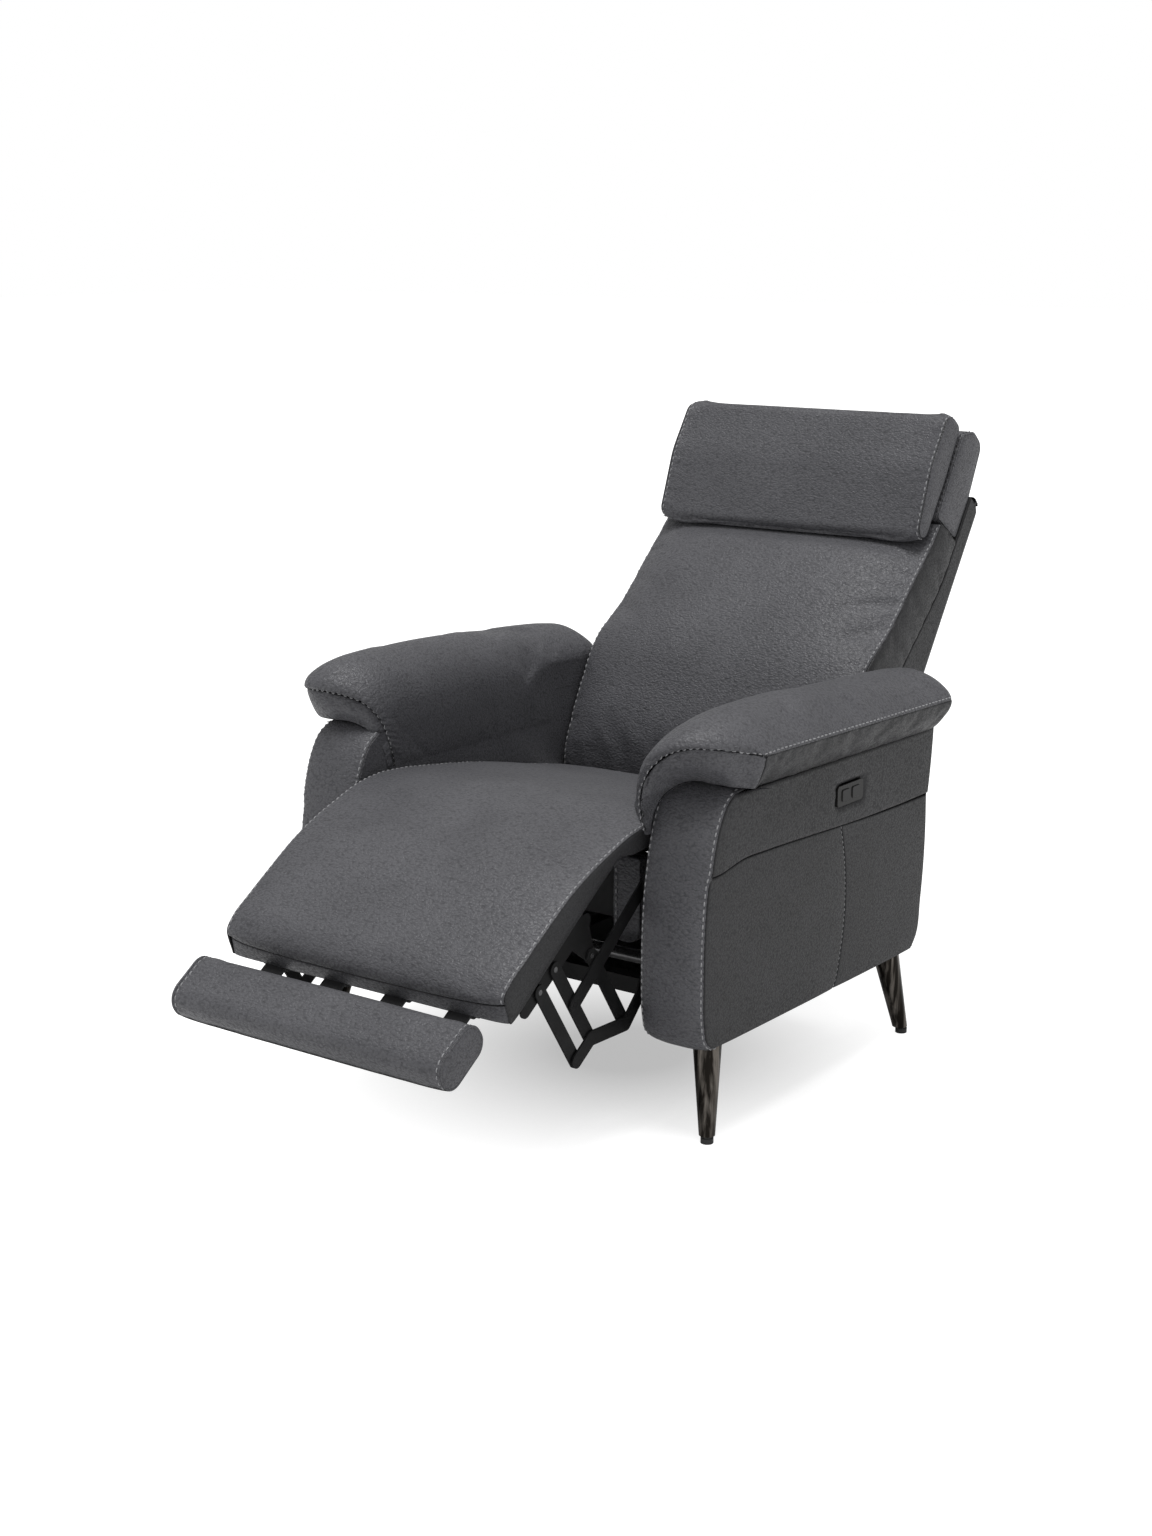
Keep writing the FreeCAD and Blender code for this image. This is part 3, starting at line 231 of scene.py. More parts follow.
def walked_over(sheet, axis):
    """The same for every point of a sheet, along its columns (axis 0) or its rows (axis 1)."""
    steps = np.diff(sheet, axis=axis, prepend=np.take(sheet, [0], axis))
    return np.cumsum(np.linalg.norm(steps, axis=2), axis=axis)


def read_path(path, walked, places):
    return np.stack([np.interp(places, walked, path[:, k]) for k in range(path.shape[1])], 1)


def spaced(path, shares):
    """Points of a path at the given shares of its length."""
    walked = walked_along(path)
    return read_path(path, walked, np.array(shares) * walked[-1])


def upright(path, x):
    """A (y, z) path stood up in the plane at x, or at one x for each point."""
    path = np.array(path, float)
    return np.column_stack([np.broadcast_to(x, len(path)), path])


def stretched(bottom, top, left, right):
    """A sheet over four edge curves. Rows run from bottom to top, columns from left to right."""
    v = np.linspace(0, 1, len(left))[:, None, None]
    u = np.linspace(0, 1, len(bottom))[None, :, None]
    corners = ((1 - u) * (1 - v) * bottom[0] + u * (1 - v) * bottom[-1]
               + (1 - u) * v * top[0] + u * v * top[-1])
    return (1 - v) * bottom + v * top + (1 - u) * left[:, None] + u * right[:, None] - corners


def ruled(first, last, count, axis=0):
    """Straight rulings between two lines: count rows, or count columns with axis=1."""
    return np.stack([first * (1 - s) + last * s for s in np.linspace(0, 1, count)], axis)


def at_index(sheet, places, axis):
    """Reads a sheet at fractional row or column numbers, smoothly."""
    sheet = np.moveaxis(sheet, axis, 0)
    last = len(sheet) - 1
    places = np.clip(places, 0, last)
    i = np.minimum(places.astype(int), last - 1)
    t = (places - i)[:, None, None]
    a, b, c, d = (sheet[np.clip(i + k, 0, last)] for k in (-1, 0, 1, 2))
    read = b + 0.5 * t * (c - a + t * (2 * a - 5 * b + 4 * c - d + t * (3 * (b - c) + d - a)))
    return np.moveaxis(read, 0, axis)


def outward(sheet, out):
    """Unit normals of a sheet, on the side that mostly looks the given way."""
    normal = np.cross(np.gradient(sheet, axis=1), np.gradient(sheet, axis=0))
    normal /= np.maximum(np.linalg.norm(normal, axis=2, keepdims=True), 1e-9)
    if np.sum(normal * np.asarray(out, float)) < 0:
        normal = -normal
    return normal


TURNED_ROWS = (0.0, 0.25, 0.6, 1.1, 1.8, 2.7, 3.8, 5.2, 7.5, 11.0)
TURNED_REACH = 13


def finer(length, count, step, start, end):
    """Fractional indices over a side of this length: even steps, crowded towards sewn edges."""
    even = np.arange(0, length, length / max(2, round(length / step)))
    marks = set(np.round(np.append(even, length), 3))
    for sewn, edge in ((start, 0), (end, length)):
        if sewn:
            near = {abs(edge - d) for d in TURNED_ROWS if d < length / 2}
            marks = {m for m in marks if abs(m - edge) > TURNED_REACH} | near
    return np.array(sorted(marks | {0.0, length})) / length * (count - 1)


def panel(sheet, out, sewn="lrbt", turn=2.6, puff=0.0, reach=30.0, step=7.0, gathers=None):
    """One cut piece of leather with its sewn edges turned in.

    sewn names the edges: l, r (first, last column), b, t (first, last row). puff stuffs the middle,
    gathers = {edge: (depth, pitch, how far in)} draws puckers in from that edge's stitches, and step
    is the size of the quads along each column and each row.
    """
    step_rows, step_columns = np.broadcast_to(step, 2)
    rows, columns = sheet.shape[:2]
    height = walked_along(sheet[:, columns // 2])[-1]
    width = walked_along(sheet[rows // 2])[-1]
    sheet = at_index(sheet, finer(height, rows, step_rows, "b" in sewn, "t" in sewn), 0)
    sheet = at_index(sheet, finer(width, columns, step_columns, "l" in sewn, "r" in sewn), 1)
    normal = outward(sheet, out)
    across, along = walked_over(sheet, 1), walked_over(sheet, 0)
    distance = {"l": across, "r": across[:, -1:] - across, "b": along, "t": along[-1:] - along}
    run = {"l": along, "r": along, "b": across, "t": across}
    lift = np.full(across.shape, float(puff))
    drop = np.zeros(across.shape)
    crease = np.zeros(across.shape)
    for edge in sewn:
        near = np.clip(distance[edge] / turn, 0, 1)
        crease = np.maximum(crease, 1 - near)
        drop = np.maximum(drop, turn * (1 - np.sqrt(1 - (1 - near) ** 2)))
        lift *= 1 - np.exp(-distance[edge] / reach)
    for edge, (depth, pitch, far) in (gathers or {}).items():
        slant = run[edge] + 0.35 * distance[edge] * np.sin(run[edge] / 29.0)
        drawn_in = (0.5 + 0.5 * np.cos(2 * math.pi * slant / pitch)) ** 2.5
        wave = (0.4 - 1.4 * drawn_in) * (1 + 0.35 * np.sin(run[edge] / 23.0))
        fade = np.exp(-distance[edge] / far) * np.clip(distance[edge] / 3.0, 0, 1)
        lift += depth * fade * wave
    return sheet + normal * (lift - drop)[..., None], normal, crease


STITCH_PITCH = 11.0
STITCH_INSET = 7.0


def puckers(edges, depth):
    """Small even gathers along topstitched edges, for panel()."""
    return {edge: (depth, STITCH_PITCH, 6.0) for edge in edges}


def mesh_object(name, points, faces, material, crease=None):
    mesh = bpy.data.meshes.new(name)
    mesh.from_pydata((np.asarray(points) * 0.001).tolist(), [], faces)
    mesh.polygons.foreach_set("use_smooth", [True] * len(mesh.polygons))
    mesh.materials.append(material)
    if crease is not None:
        mesh.attributes.new("crease", "FLOAT", "POINT").data.foreach_set("value", crease)
    piece = bpy.data.objects.new(name, mesh)
    bpy.context.scene.collection.objects.link(piece)
    return piece


def grid_quads(rows, columns, first=0):
    number = first + np.arange(rows * columns).reshape(rows, columns)
    corners = [number[:-1, :-1], number[:-1, 1:], number[1:, 1:], number[1:, :-1]]
    return np.stack(corners, -1).reshape(-1, 4)


def sewn_piece(name, panels, smooth=()):
    """Joins panels from panel() into one leather piece; smooth lists the panels cut from flatter hide,
    which is dyed much darker as painted shade.
    """
    points, faces, creases, slots = [], [], [], []
    first = 0
    for i, (sheet, normal, crease) in enumerate(panels):
        rows, columns = sheet.shape[:2]
        quads = grid_quads(rows, columns, first)
        first += rows * columns
        m, n = rows // 2, columns // 2
        facing = np.cross(sheet[m, n + 1] - sheet[m, n], sheet[m + 1, n] - sheet[m, n])
        if np.dot(facing, normal[m, n]) < 0:
            quads = quads[:, ::-1]
        points.append(sheet.reshape(-1, 3))
        creases.append(crease.reshape(-1))
        faces += quads.tolist()
        slots += [int(i in smooth)] * len(quads)
    piece = mesh_object(name, np.vstack(points), faces, charcoal, np.concatenate(creases))
    if smooth:
        piece.data.materials.append(flat_shaded_hide)
        piece.data.polygons.foreach_set("material_index", slots)
    return piece


def ride_in_leather(body, *pieces):
    for piece in pieces:
        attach(piece, body)


def seam_path(made, edge, inset):
    """The line and its normals at a distance in from one edge of a finished panel."""
    sheet, normal = made[:2]
    if edge in "rt":
        sheet = sheet[:, ::-1] if edge == "r" else sheet[::-1]
        normal = normal[:, ::-1] if edge == "r" else normal[::-1]
    if edge in "bt":
        sheet = sheet.transpose(1, 0, 2)
        normal = normal.transpose(1, 0, 2)
    walked = walked_over(sheet, 1)
    return [np.vstack([read_path(row, w, [inset]) for row, w in zip(rows, walked)])
            for rows in (sheet, normal)]


def seam_paths(made, edges, inset=STITCH_INSET):
    return [seam_path(made, edge, inset) for edge in edges]


def stitches(name, runs, thread, length=7.4, pitch=STITCH_PITCH, radius=1.05):
    """Separate stitches along (line, normals) runs: bent capsules whose ends dip into the leather."""
    around = np.linspace(0, 2 * math.pi, 7)[:-1]
    stations = np.array([-0.5, -0.44, -0.25, 0.0, 0.25, 0.44, 0.5])
    girth = radius * np.array([0.35, 0.8, 1.0, 1.0, 1.0, 0.8, 0.35])
    arch = radius * np.array([-1.3, -0.55, 0.15, 0.35, 0.15, -0.55, -1.3])
    capsule = [(k + j, k + (j + 1) % 6, k + 6 + (j + 1) % 6, k + 6 + j)
               for k in range(0, 36, 6) for j in range(6)]
    capsule += [(5, 4, 3, 2, 1, 0), (36, 37, 38, 39, 40, 41)]
    points, faces = [], []
    for line, up in runs:
        walked = walked_along(line)
        for place in np.arange(pitch * 0.6, walked[-1] - pitch * 0.5, pitch):
            centre = read_path(line, walked, np.clip(place + stations * length, 0, walked[-1]))
            lift = read_path(up, walked, [place])[0]
            lift /= np.linalg.norm(lift)
            side = np.cross(centre[-1] - centre[0], lift)
            side /= np.linalg.norm(side)
            faces += [tuple(len(points) + corner for corner in face) for face in capsule]
            for k in range(7):
                points += [centre[k] + lift * (arch[k] + math.sin(angle) * girth[k])
                           + side * math.cos(angle) * girth[k] for angle in around]
    return mesh_object(name, points, faces, thread)


def leather(name, dark, light, relief):
    """Corrected-grain leather: cloudy dye, pressed pebbles with creases round them, painted shade in the
    pebbles' pits and painted shade darkening the seam grooves.
    """
    material, tree, shader = new_material(name, dark, 0.5)
    dye = colour_ramp(tree, noise(tree, 9.0, 4.0, 0.55).outputs["Fac"], dark, light, 0.35, 0.65)
    pushed = node(tree, "MixRGB", {"Fac": 0.0045, "Color1": own_metres(tree),
                                   "Color2": noise(tree, 110.0, 4.0, 0.6).outputs["Color"]},
                  blend_type="LINEAR_LIGHT").outputs["Color"]
    drawn = node(tree, "Mapping", {"Scale": (0.6, 1.0, 1.1), "Vector": pushed}).outputs["Vector"]
    pebbles = node(tree, "TexVoronoi", {"Scale": 300.0, "Smoothness": 0.25, "Vector": drawn},
                   feature="SMOOTH_F1").outputs["Distance"]
    creases = node(tree, "TexVoronoi", {"Scale": 105.0, "Vector": drawn},
                   feature="DISTANCE_TO_EDGE").outputs["Distance"]
    # Painted shade: the colour is multiplied darker in the pits between the pebbles.
    pit_shade = between(tree, pebbles, 0.0, 0.9 * relief, 0.4, 0.95)
    shaded = node(tree, "MixRGB", {"Fac": pit_shade, "Color1": dye, "Color2": (0.40, 0.40, 0.41, 1.0)},
                  blend_type="MULTIPLY").outputs["Color"]
    # Painted shade: the colour is darkened almost to black in the turned-in seam grooves.
    seam = node(tree, "Attribute", {}, attribute_name="crease").outputs["Fac"]
    seam_shaded = node(tree, "MixRGB", {"Fac": between(tree, seam, 0.0, 0.94, 0.35, 0.8), "Color1": shaded,
                                 "Color2": (0.010, 0.010, 0.011, 1.0)}).outputs["Color"]
    tree.links.new(seam_shaded, shader.inputs["Base Color"])
    valley = between(tree, pebbles, 0.0, 1.0, 0.2, 0.8)
    tree.links.new(between(tree, valley, 0.34, 0.62, 0.0, 1.0), shader.inputs["Roughness"])
    shader.inputs["Specular IOR Level"].default_value = 0.1 + 0.45 * relief
    shader.inputs["Sheen Weight"].default_value = 0.05 * relief
    shader.inputs["Sheen Roughness"].default_value = 0.45
    raised = node(tree, "Math", {0: 1.0, 1: pebbles}, operation="SUBTRACT").outputs["Value"]
    folds = bump(tree, shader, between(tree, creases, 0.0, 1.0, 0.0, 0.1), 0.45 * relief, 0.0006)
    grain = bump(tree, shader, raised, 0.8 * relief, 0.0015, folds)
    bump(tree, shader, noise(tree, 1300.0, 2.0).outputs["Fac"], 0.2, 0.0002, grain)
    return material


charcoal = leather("charcoal_leather", (0.080, 0.080, 0.088), (0.096, 0.096, 0.105), 0.85)
# The flatter hide is also dyed far darker than the charcoal leather: painted shade for the sides, boxings,
# rear and undersides that face away from the overhead light.
flat_shaded_hide = leather("flat_shaded_charcoal_leather", (0.031, 0.031, 0.032), (0.037, 0.037, 0.039), 0.3)
grey_thread = coated("grey_thread", (0.24, 0.24, 0.25), (0.34, 0.34, 0.35), 0.6, 3000.0, 0.0002)

ARM_IN = 275.0
ARM_OUT = 385.0
ARM_BOTTOM = 150.0
BAND_PROUD = 3.0
PLATE_Y, PLATE_Z = 88, 454
arm_front = [(-262, 150), (-281, 152), (-294, 163), (-301, 190), (-303.5, 250), (-302, 328), (-298.5, 367),
             (-292, 404), (-284, 441), (-271, 477), (-252, 505), (-226, 519), (-195, 521)]
front_path = curve(arm_front, 200)
front_path = front_path[front_path[:, 1] > 151]
band_seam = curve([(-288, 407), (-262, 406.5), (-236, 411), (-205, 415.5), (-150, 415), (-20, 410),
                   (92, 405), (344, 402.5)], 120)
middle_seam = curve([(58, 150), (63, 156), (75.6, 191), (81.5, 365), (71, 404)], 60)
MIDDLE = int(np.argmin(abs(band_seam[:, 0] - 71)))
middle_seam[-1] = band_seam[MIDDLE]
rear_edge = [(308.5, 150), (324, 166), (336, 227), (343, 400)]
high_rear = curve([(344, 402.5), (347, 420), (357, 510)], 40)


def front_at(heights):
    """Points of the front seam at these heights."""
    return np.column_stack([np.interp(heights, front_path[:, 1], front_path[:, 0]), heights])


def flat_panel(x, bottom, top, left, right):
    """A sheet in the plane at x, over four (y, z) edge lines."""
    return stretched(*(upright(line, x) for line in (bottom, top, left, right)))


def sink_for_plate(sheet):
    """Presses the leather in behind the control plate, with a deeper well for its buttons."""
    beside, above = abs(sheet[..., 1] - PLATE_Y), abs(sheet[..., 2] - PLATE_Z)
    off = np.clip(np.maximum(beside - 39, above - 16) / 6.0, 0, 1)
    sheet[..., 0] += (1 - off ** 2 * (3 - 2 * off)) * (ARM_OUT - 1.0 - sheet[..., 0])
    off_well = np.clip(np.maximum(beside - 28, above - 11) / 4.0, 0, 1)
    sheet[..., 0] -= 12.0 * (1 - off_well)


def arm_box(side, sign):
    outer = sign * ARM_OUT
    inner = sign * ARM_IN
    proud = outer + sign * BAND_PROUD
    outwards = (sign, 0, 0)
    front = curve(arm_front, 90)
    out_path = upright(front, outer + sign * np.interp(front[:, 1], [395, 412], [0, BAND_PROUD]))
    in_path = upright(front, inner)
    crown = curve([(0, 0), (8, 4.2), (25, 7.2), (57, 8.4), (88, 7.2), (105, 4.2), (113, 0)], 24)
    across = (out_path - in_path)[:, None] * (crown[:, :1] / 113)
    facing = outward(np.stack([in_path, out_path], 1), (0, -1, 0.2))[:, :1]
    rim = panel(in_path[:, None] + across + facing * (crown[:, 1:] - 1.0), (0, -1, 0.2), "lr",
                turn=3.4, step=(2.8, 6.0), gathers={**puckers("r", 0.45), **puckers("l", 0.4)})

    low_front = front_at(np.linspace(151.5, 406, 60))
    floor_line = np.column_stack([np.linspace(low_front[0, 0], 58, 60), np.full(60, ARM_BOTTOM)])
    front_low = flat_panel(outer, floor_line, spaced(band_seam[:MIDDLE + 1], np.linspace(0, 1, 60)),
                           low_front, middle_seam)
    floor_line = np.column_stack([np.linspace(58, 308.5, 40), np.full(40, ARM_BOTTOM)])
    rear_low = flat_panel(outer, floor_line, spaced(band_seam[MIDDLE:], np.linspace(0, 1, 40)),
                          middle_seam, curve(rear_edge, 60))
    high_front = front_at(np.linspace(407, 516, 40))
    top_line = np.column_stack([np.linspace(high_front[-1, 0], 357, 100), np.linspace(520, 510, 100)])
    band = flat_panel(proud, spaced(band_seam, np.linspace(0, 1, 100)), top_line, high_front, high_rear)
    under = panel(front_low, outwards, "lrt", puff=2.2, reach=26.0, turn=3.4)
    behind = panel(rear_low, outwards, "lrt", puff=1.6, reach=30.0, turn=3.4)
    upper = panel(band, outwards, "lrb", puff=1.6, reach=22.0, turn=4.2)
    if side == "left":
        sink_for_plate(upper[0])

    back_out = np.vstack([curve(rear_edge, 50), high_rear[1:]])
    back_face = panel(ruled(upright(back_out, inner), upright(back_out, outer), 16, 1), (0, 1, 0), "lr",
                      puff=2.0, reach=18.0, turn=2.2, step=9.0)
    inside_front = front_at(np.linspace(151.5, 516, 60))
    inside_rear = spaced(back_out, np.linspace(0, 1, 60))
    foot, head = (np.linspace(inside_front[k], inside_rear[k], 40) for k in (0, -1))
    inside = panel(flat_panel(inner, foot, head, inside_front, inside_rear), (-sign, 0, 0), "lr", step=16.0)
    lid = panel(ruled(upright(top_line, inner), upright(top_line, proud), 8, 1), (0, 0, 1), "", step=16.0)
    # The outer bands, rear face and lid are in the darker flat hide: painted shade on the arm's sides and
    # rear.
    cover = sewn_piece("arm_cover_" + side, [rim, under, behind, upper, back_face, inside, lid],
                       smooth=(1, 2, 3, 4, 6))
    sewing = stitches("arm_stitching_" + side, seam_paths(rim, "rl"), grey_thread)
    fine = stitches("arm_side_stitching_" + side, seam_paths(under, "r", 4.0), grey_thread, 5.0, 8.5, 0.55)
    ride_in_leather("base", cover, sewing, fine)
    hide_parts("arm_casing_" + side)


for side, sign in (("left", 1), ("right", -1)):
    arm_box(side, sign)


# ---------------- arm pads
# A fat foam-and-fibre pad lies over each arm and rolls over its front end. One top panel runs from the
# inside of the arm over the crest to the outer seam, and is gathered round the nose onto a small front
# panel. The right nose is cut back further inside. A narrow band of flatter hide, dyed darker as painted
# shade, tucks under outside.
def stuffed(sheet, out, pressure, slack, cap):
    """Fills a panel: cloth held at its seams, cut slack too big and blown up, moved cap mm at most."""
    rows, columns = sheet.shape[:2]
    quads = grid_quads(rows, columns)
    normal = np.cross(np.gradient(sheet, axis=1), np.gradient(sheet, axis=0))
    if np.sum(normal * np.asarray(out, float)) < 0:
        quads = quads[:, ::-1]
    cloth = mesh_object("filling", sheet.reshape(-1, 3), quads.tolist(), charcoal)
    seams = cloth.vertex_groups.new(name="seams")
    number = np.arange(rows * columns).reshape(rows, columns)
    for edge in (number[:, 0], number[:, -1], number[0], number[-1]):
        seams.add(edge.tolist(), 1.0, "REPLACE")
    filling = cloth.modifiers.new("filling", "CLOTH")
    for name, value in {"quality": 6, "mass": 0.4, "tension_stiffness": 20.0, "compression_stiffness": 20.0,
                        "bending_stiffness": 2.0, "vertex_group_mass": "seams", "use_pressure": True,
                        "uniform_pressure_force": pressure, "shrink_min": -slack}.items():
        setattr(filling.settings, name, value)
    filling.settings.effector_weights.gravity = 0.0
    filling.point_cache.frame_start = 1
    filling.point_cache.frame_end = 20
    scene = bpy.context.scene
    for frame_number in range(1, 21):
        scene.frame_set(frame_number)
    settled = cloth.evaluated_get(bpy.context.evaluated_depsgraph_get())
    moved = np.empty(rows * columns * 3)
    settled.data.vertices.foreach_get("co", moved)
    moved = moved.reshape(rows, columns, 3) * 1000.0 - sheet
    bpy.data.objects.remove(cloth)
    scene.frame_set(1)
    far = np.maximum(np.linalg.norm(moved, axis=2, keepdims=True), 1e-6)
    return sheet + moved / far * cap * np.tanh(far / cap)


PAD_REAR = 357.0
PAD_CORNER = 34.0
PAD_OUT = 430.0
PAD_FOOT, PAD_SEAM, PAD_CREST = 456, 573, 631
CREST_X = 346
NOSE_START = -186.0
PAD_SECTION = curve([(275, 456), (272, 498), (271, 538), (275, 571), (287, 598), (311, 619), (346, 631),
                     (380, 625), (408, 607), (424, 588), (430, 573)], 34)
nose_seams = {"left": curve([(277, -296, 458), (274, -300, 484), (273, -301, 508), (278, -300, 532),
                             (294, -299, 557), (320, -297, 577), (355, -291, 588), (387, -277, 588),
                             (412, -250, 582), (430, -222, 575)], 34),
              "right": curve([(275, -201, 458), (274, -206, 482), (275, -212, 508), (278, -222, 535),
                              (291, -236, 558), (315, -250, 571), (353, -263, 578), (387, -263, 579),
                              (412, -247, 576), (430, -222, 575)], 34)}
nose_hems = {"left": [(277, -278, 452), (277, -277, 470), (279, -270, 488), (286, -260, 506),
                      (302, -251, 520), (322, -243, 527), (357, -239, 526), (386, -235, 525)],
             "right": [(276, -212, 453), (276, -216, 470), (277, -221, 489), (283, -232, 508),
                       (300, -240, 522), (322, -242, 528), (357, -244, 529), (386, -237, 527)]}
crest_line = curve([(-308, 590), (-245, 620), (-104, 630), (47, 625.5), (150, 618.5), (241, 611.5),
                    (300, 607), (343, 599.5), (360, 590)], 200)


def pad_corner(y):
    """How far the pad's outer seam draws in where it rounds the rear corner."""
    past = min(PAD_CORNER, max(0.0, y - (PAD_REAR - PAD_CORNER)))
    return PAD_CORNER - math.sqrt(PAD_CORNER ** 2 - past ** 2 * 0.96)


def pad_section(y):
    """The pad's outline at y: its crest follows the crest line, and its outer edge the band's seam."""
    crest = np.interp(y, crest_line[:, 0], crest_line[:, 1])
    seam = np.interp(y, [-190, PAD_REAR], [573, 561])
    x, z = PAD_SECTION.T
    inner = PAD_FOOT + (z - PAD_FOOT) / (PAD_CREST - PAD_FOOT) * (crest - PAD_FOOT)
    outer = seam + (z - PAD_SEAM) / (PAD_CREST - PAD_SEAM) * (crest - seam)
    drawn_in = x - (x - CREST_X) / (PAD_OUT - CREST_X) * pad_corner(y)
    return np.where(x < CREST_X, x, drawn_in), np.where(x < CREST_X, inner, outer)


def arm_pad(side, sign):
    seam_line = nose_seams[side]
    columns = len(PAD_SECTION)
    fullness = np.sin(np.linspace(0, 1, columns) * math.pi) ** 0.6
    nose = curve([(0, 0), (-0.19, 0.12), (-0.17, 0.35), (0, 0.60), (0.22, 0.79), (0.55, 0.93), (1, 1)], 15)
    wide, high = pad_section(NOSE_START)
    rows = []
    for back, up in nose[:-1]:
        forward = back if back > 0 else back * fullness
        rows.append(np.column_stack([seam_line[:, 0] + up * (wide - seam_line[:, 0]),
                                     seam_line[:, 1] + forward * (NOSE_START - seam_line[:, 1]),
                                     seam_line[:, 2] + up * (high - seam_line[:, 2])]))
    corner = PAD_REAR - PAD_CORNER
    round_corner = corner + PAD_CORNER * np.sin(np.linspace(0, math.pi / 2, 9)[1:])
    for y in np.append(np.linspace(NOSE_START, corner, 43), round_corner):
        wide, high = pad_section(y)
        tip = max(0.0, (y - 320) / 37.0) ** 2
        rows.append(np.column_stack([wide, y + tip * 3 * fullness, high - tip * 4]))
    cut = np.array(rows)
    top = stuffed(cut, (0, 0, 1), 2.5, 0.010, 3.5)
    beside_back = np.interp(cut[:, :, 1], [130, 230], [268.0, 275.8])
    top[:, :, 0] = np.maximum(top[:, :, 0], np.maximum(cut[:, :, 0] - 1.0, beside_back))

    section = curve([(430, 60), (427, 46), (416, 28), (401, 9), (388, 0)], 12) / (1, 60)
    under = []
    for y in np.append(np.linspace(-222, corner, 47), round_corner):
        low = np.interp(y, [-222, -205, -190, PAD_REAR], [524, 519, 517, 507])
        seam = np.interp(y, [-222, PAD_REAR], [574.5, 561])
        tuck = np.interp(y, [-222, -195], [0.45, 1.0])
        under.append(np.column_stack([PAD_OUT - pad_corner(y) + (section[:, 0] - PAD_OUT) * tuck,
                                      np.full(12, y), low + section[:, 1] * (seam - low)]))
    under = np.array(under)
    hem = curve(nose_hems[side] + [under[0, -1]], columns)
    front = stretched(seam_line, hem, np.linspace(seam_line[0], hem[0], 12), under[0])
    belly = np.sin(np.linspace(0, math.pi, 12))[:, None] * np.sin(np.linspace(0.25, 1, columns) * math.pi)
    front += belly[..., None] * np.array([0, -10.0, -3.0])
    front = stuffed(front, (0, -1, -0.6), 3.0, 0.02, 4.0)
    under = stuffed(under, (1, 0, -0.6), 2.0, 0.01, 2.5)
    lip = ruled(hem, hem + (0, 55.0, -9.0), 6)
    end_base = np.linspace(under[-1, -1], (277, PAD_REAR, 495), 24)
    rear = ruled(top[-1][::-1], spaced(np.vstack([under[-1], end_base]), np.linspace(0, 1, columns)), 10)
    rear[:, :, 1] += 5 * np.sin(np.linspace(0, math.pi, 10))[:, None]

    turn = np.array([sign, 1, 1])
    parts = [panel(top * turn, (0, 0, 1), "rbt", turn=3.2, step=(2.8, 1.8),
                   gathers={"b": (1.7, 10.5, 13.0), **puckers("r", 0.4)}),
             panel(front * turn, (0, -1, -0.6), "brt", turn=3.0, step=(5.0, 1.8),
                   gathers={"b": (0.8, 10.5, 9.0)}),
             panel(under * turn, (sign, 0, -0.6), "lbt", turn=3.0, step=5.5),
             panel(lip * turn, (0, 0, -1), "", step=10.0),
             panel(rear * turn, (0, 1, 0), "b", turn=2.4, step=7.0)]
    # The under band is in the darker flat hide: painted shade.
    pad = sewn_piece("arm_pad_cover_" + side, parts, smooth=(2,))
    thread = stitches("arm_pad_stitching_" + side, seam_paths(parts[0], "br"), grey_thread)
    ride_in_leather("base", pad, thread)
    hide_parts("arm_pad_" + side)


for side, sign in (("left", 1), ("right", -1)):
    arm_pad(side, sign)


# ---------------- seat and legrest
# One long cushion, moulded foam over webbing and over the legrest board, covered by a single top panel
# that crosses the knee. A narrow boxing strip is sewn round it, with topstitching down both sides.
SLOPE = math.radians(34)


def leg(u, v):
    """(y, z) of a point u down the legrest from the knee and v up from its board, as it stands open."""
    return (-309 - u * math.cos(SLOPE) - v * math.sin(SLOPE),
            441 - u * math.sin(SLOPE) + v * math.cos(SLOPE))


SEAT_HALF = 261.0
crown_line = curve([(184, 398), (100, 414), (-3, 436.5), (-110, 453), (-216, 465), (-261, 466),
                    (-310, 459), (-360, 443), (-411.8, 423), leg(150, 49.8), leg(200, 51.2),
                    leg(260, 51.5), leg(308, 50.5), leg(328, 45), leg(337, 34), leg(338, 22)], 72)
under_keys = np.array(sorted([
    (crown_line[-1][0], *leg(335, -5)), (leg(250, 50)[0], *leg(250, 1)), (-411.8, *leg(95, 6)),
    (-360, *leg(34, 6)), (-310, -303, 424), (-261, -258, 428), (-216, -214, 427), (-150, -150, 412),
    (184, 184, 342)]))
low_line = read_path(under_keys[:, 1:], under_keys[:, 0], crown_line[:, 0])
tangent = np.gradient(crown_line, axis=0)
tangent /= np.linalg.norm(tangent, axis=1, keepdims=True)
up_line = np.column_stack([tangent[:, 1], -tangent[:, 0]])
across_x = np.linspace(-SEAT_HALF, SEAT_HALF, 50)
share_x = abs(across_x / SEAT_HALF)
seat_top = []
for i, (crown, up) in enumerate(zip(crown_line, up_line)):
    near_end = np.clip((i - 64) / 7.0, 0, 1) ** 2
    fall = 8.5 * share_x ** 3.4 + 5.0 * share_x ** 16 * near_end
    seat_top.append(np.column_stack([across_x * (1 - 0.016 * near_end), crown - up * fall[:, None]]))
seat_top = np.array(seat_top)
seat_sheet = panel(stuffed(seat_top, (0, -0.3, 1), 2.0, 0.004, 3.0), (0, -0.3, 1), "lrt", turn=3.4,
                   step=(2.8, 8.0), gathers=puckers("lr", 0.35))
seat_panels = [seat_sheet]
for sign, column in ((-1, 0), (1, -1)):
    edge = seat_top[:, column]
    boxing = ruled(edge, upright(low_line, edge[:, 0]), 7, 1)
    seat_panels.append(panel(boxing, (sign, 0, 0), "lt", puff=2.6, reach=9.0, turn=3.0, step=6.0))
front_low = seat_top[-1].copy()
front_low[:, 1:] = leg(335, -5)
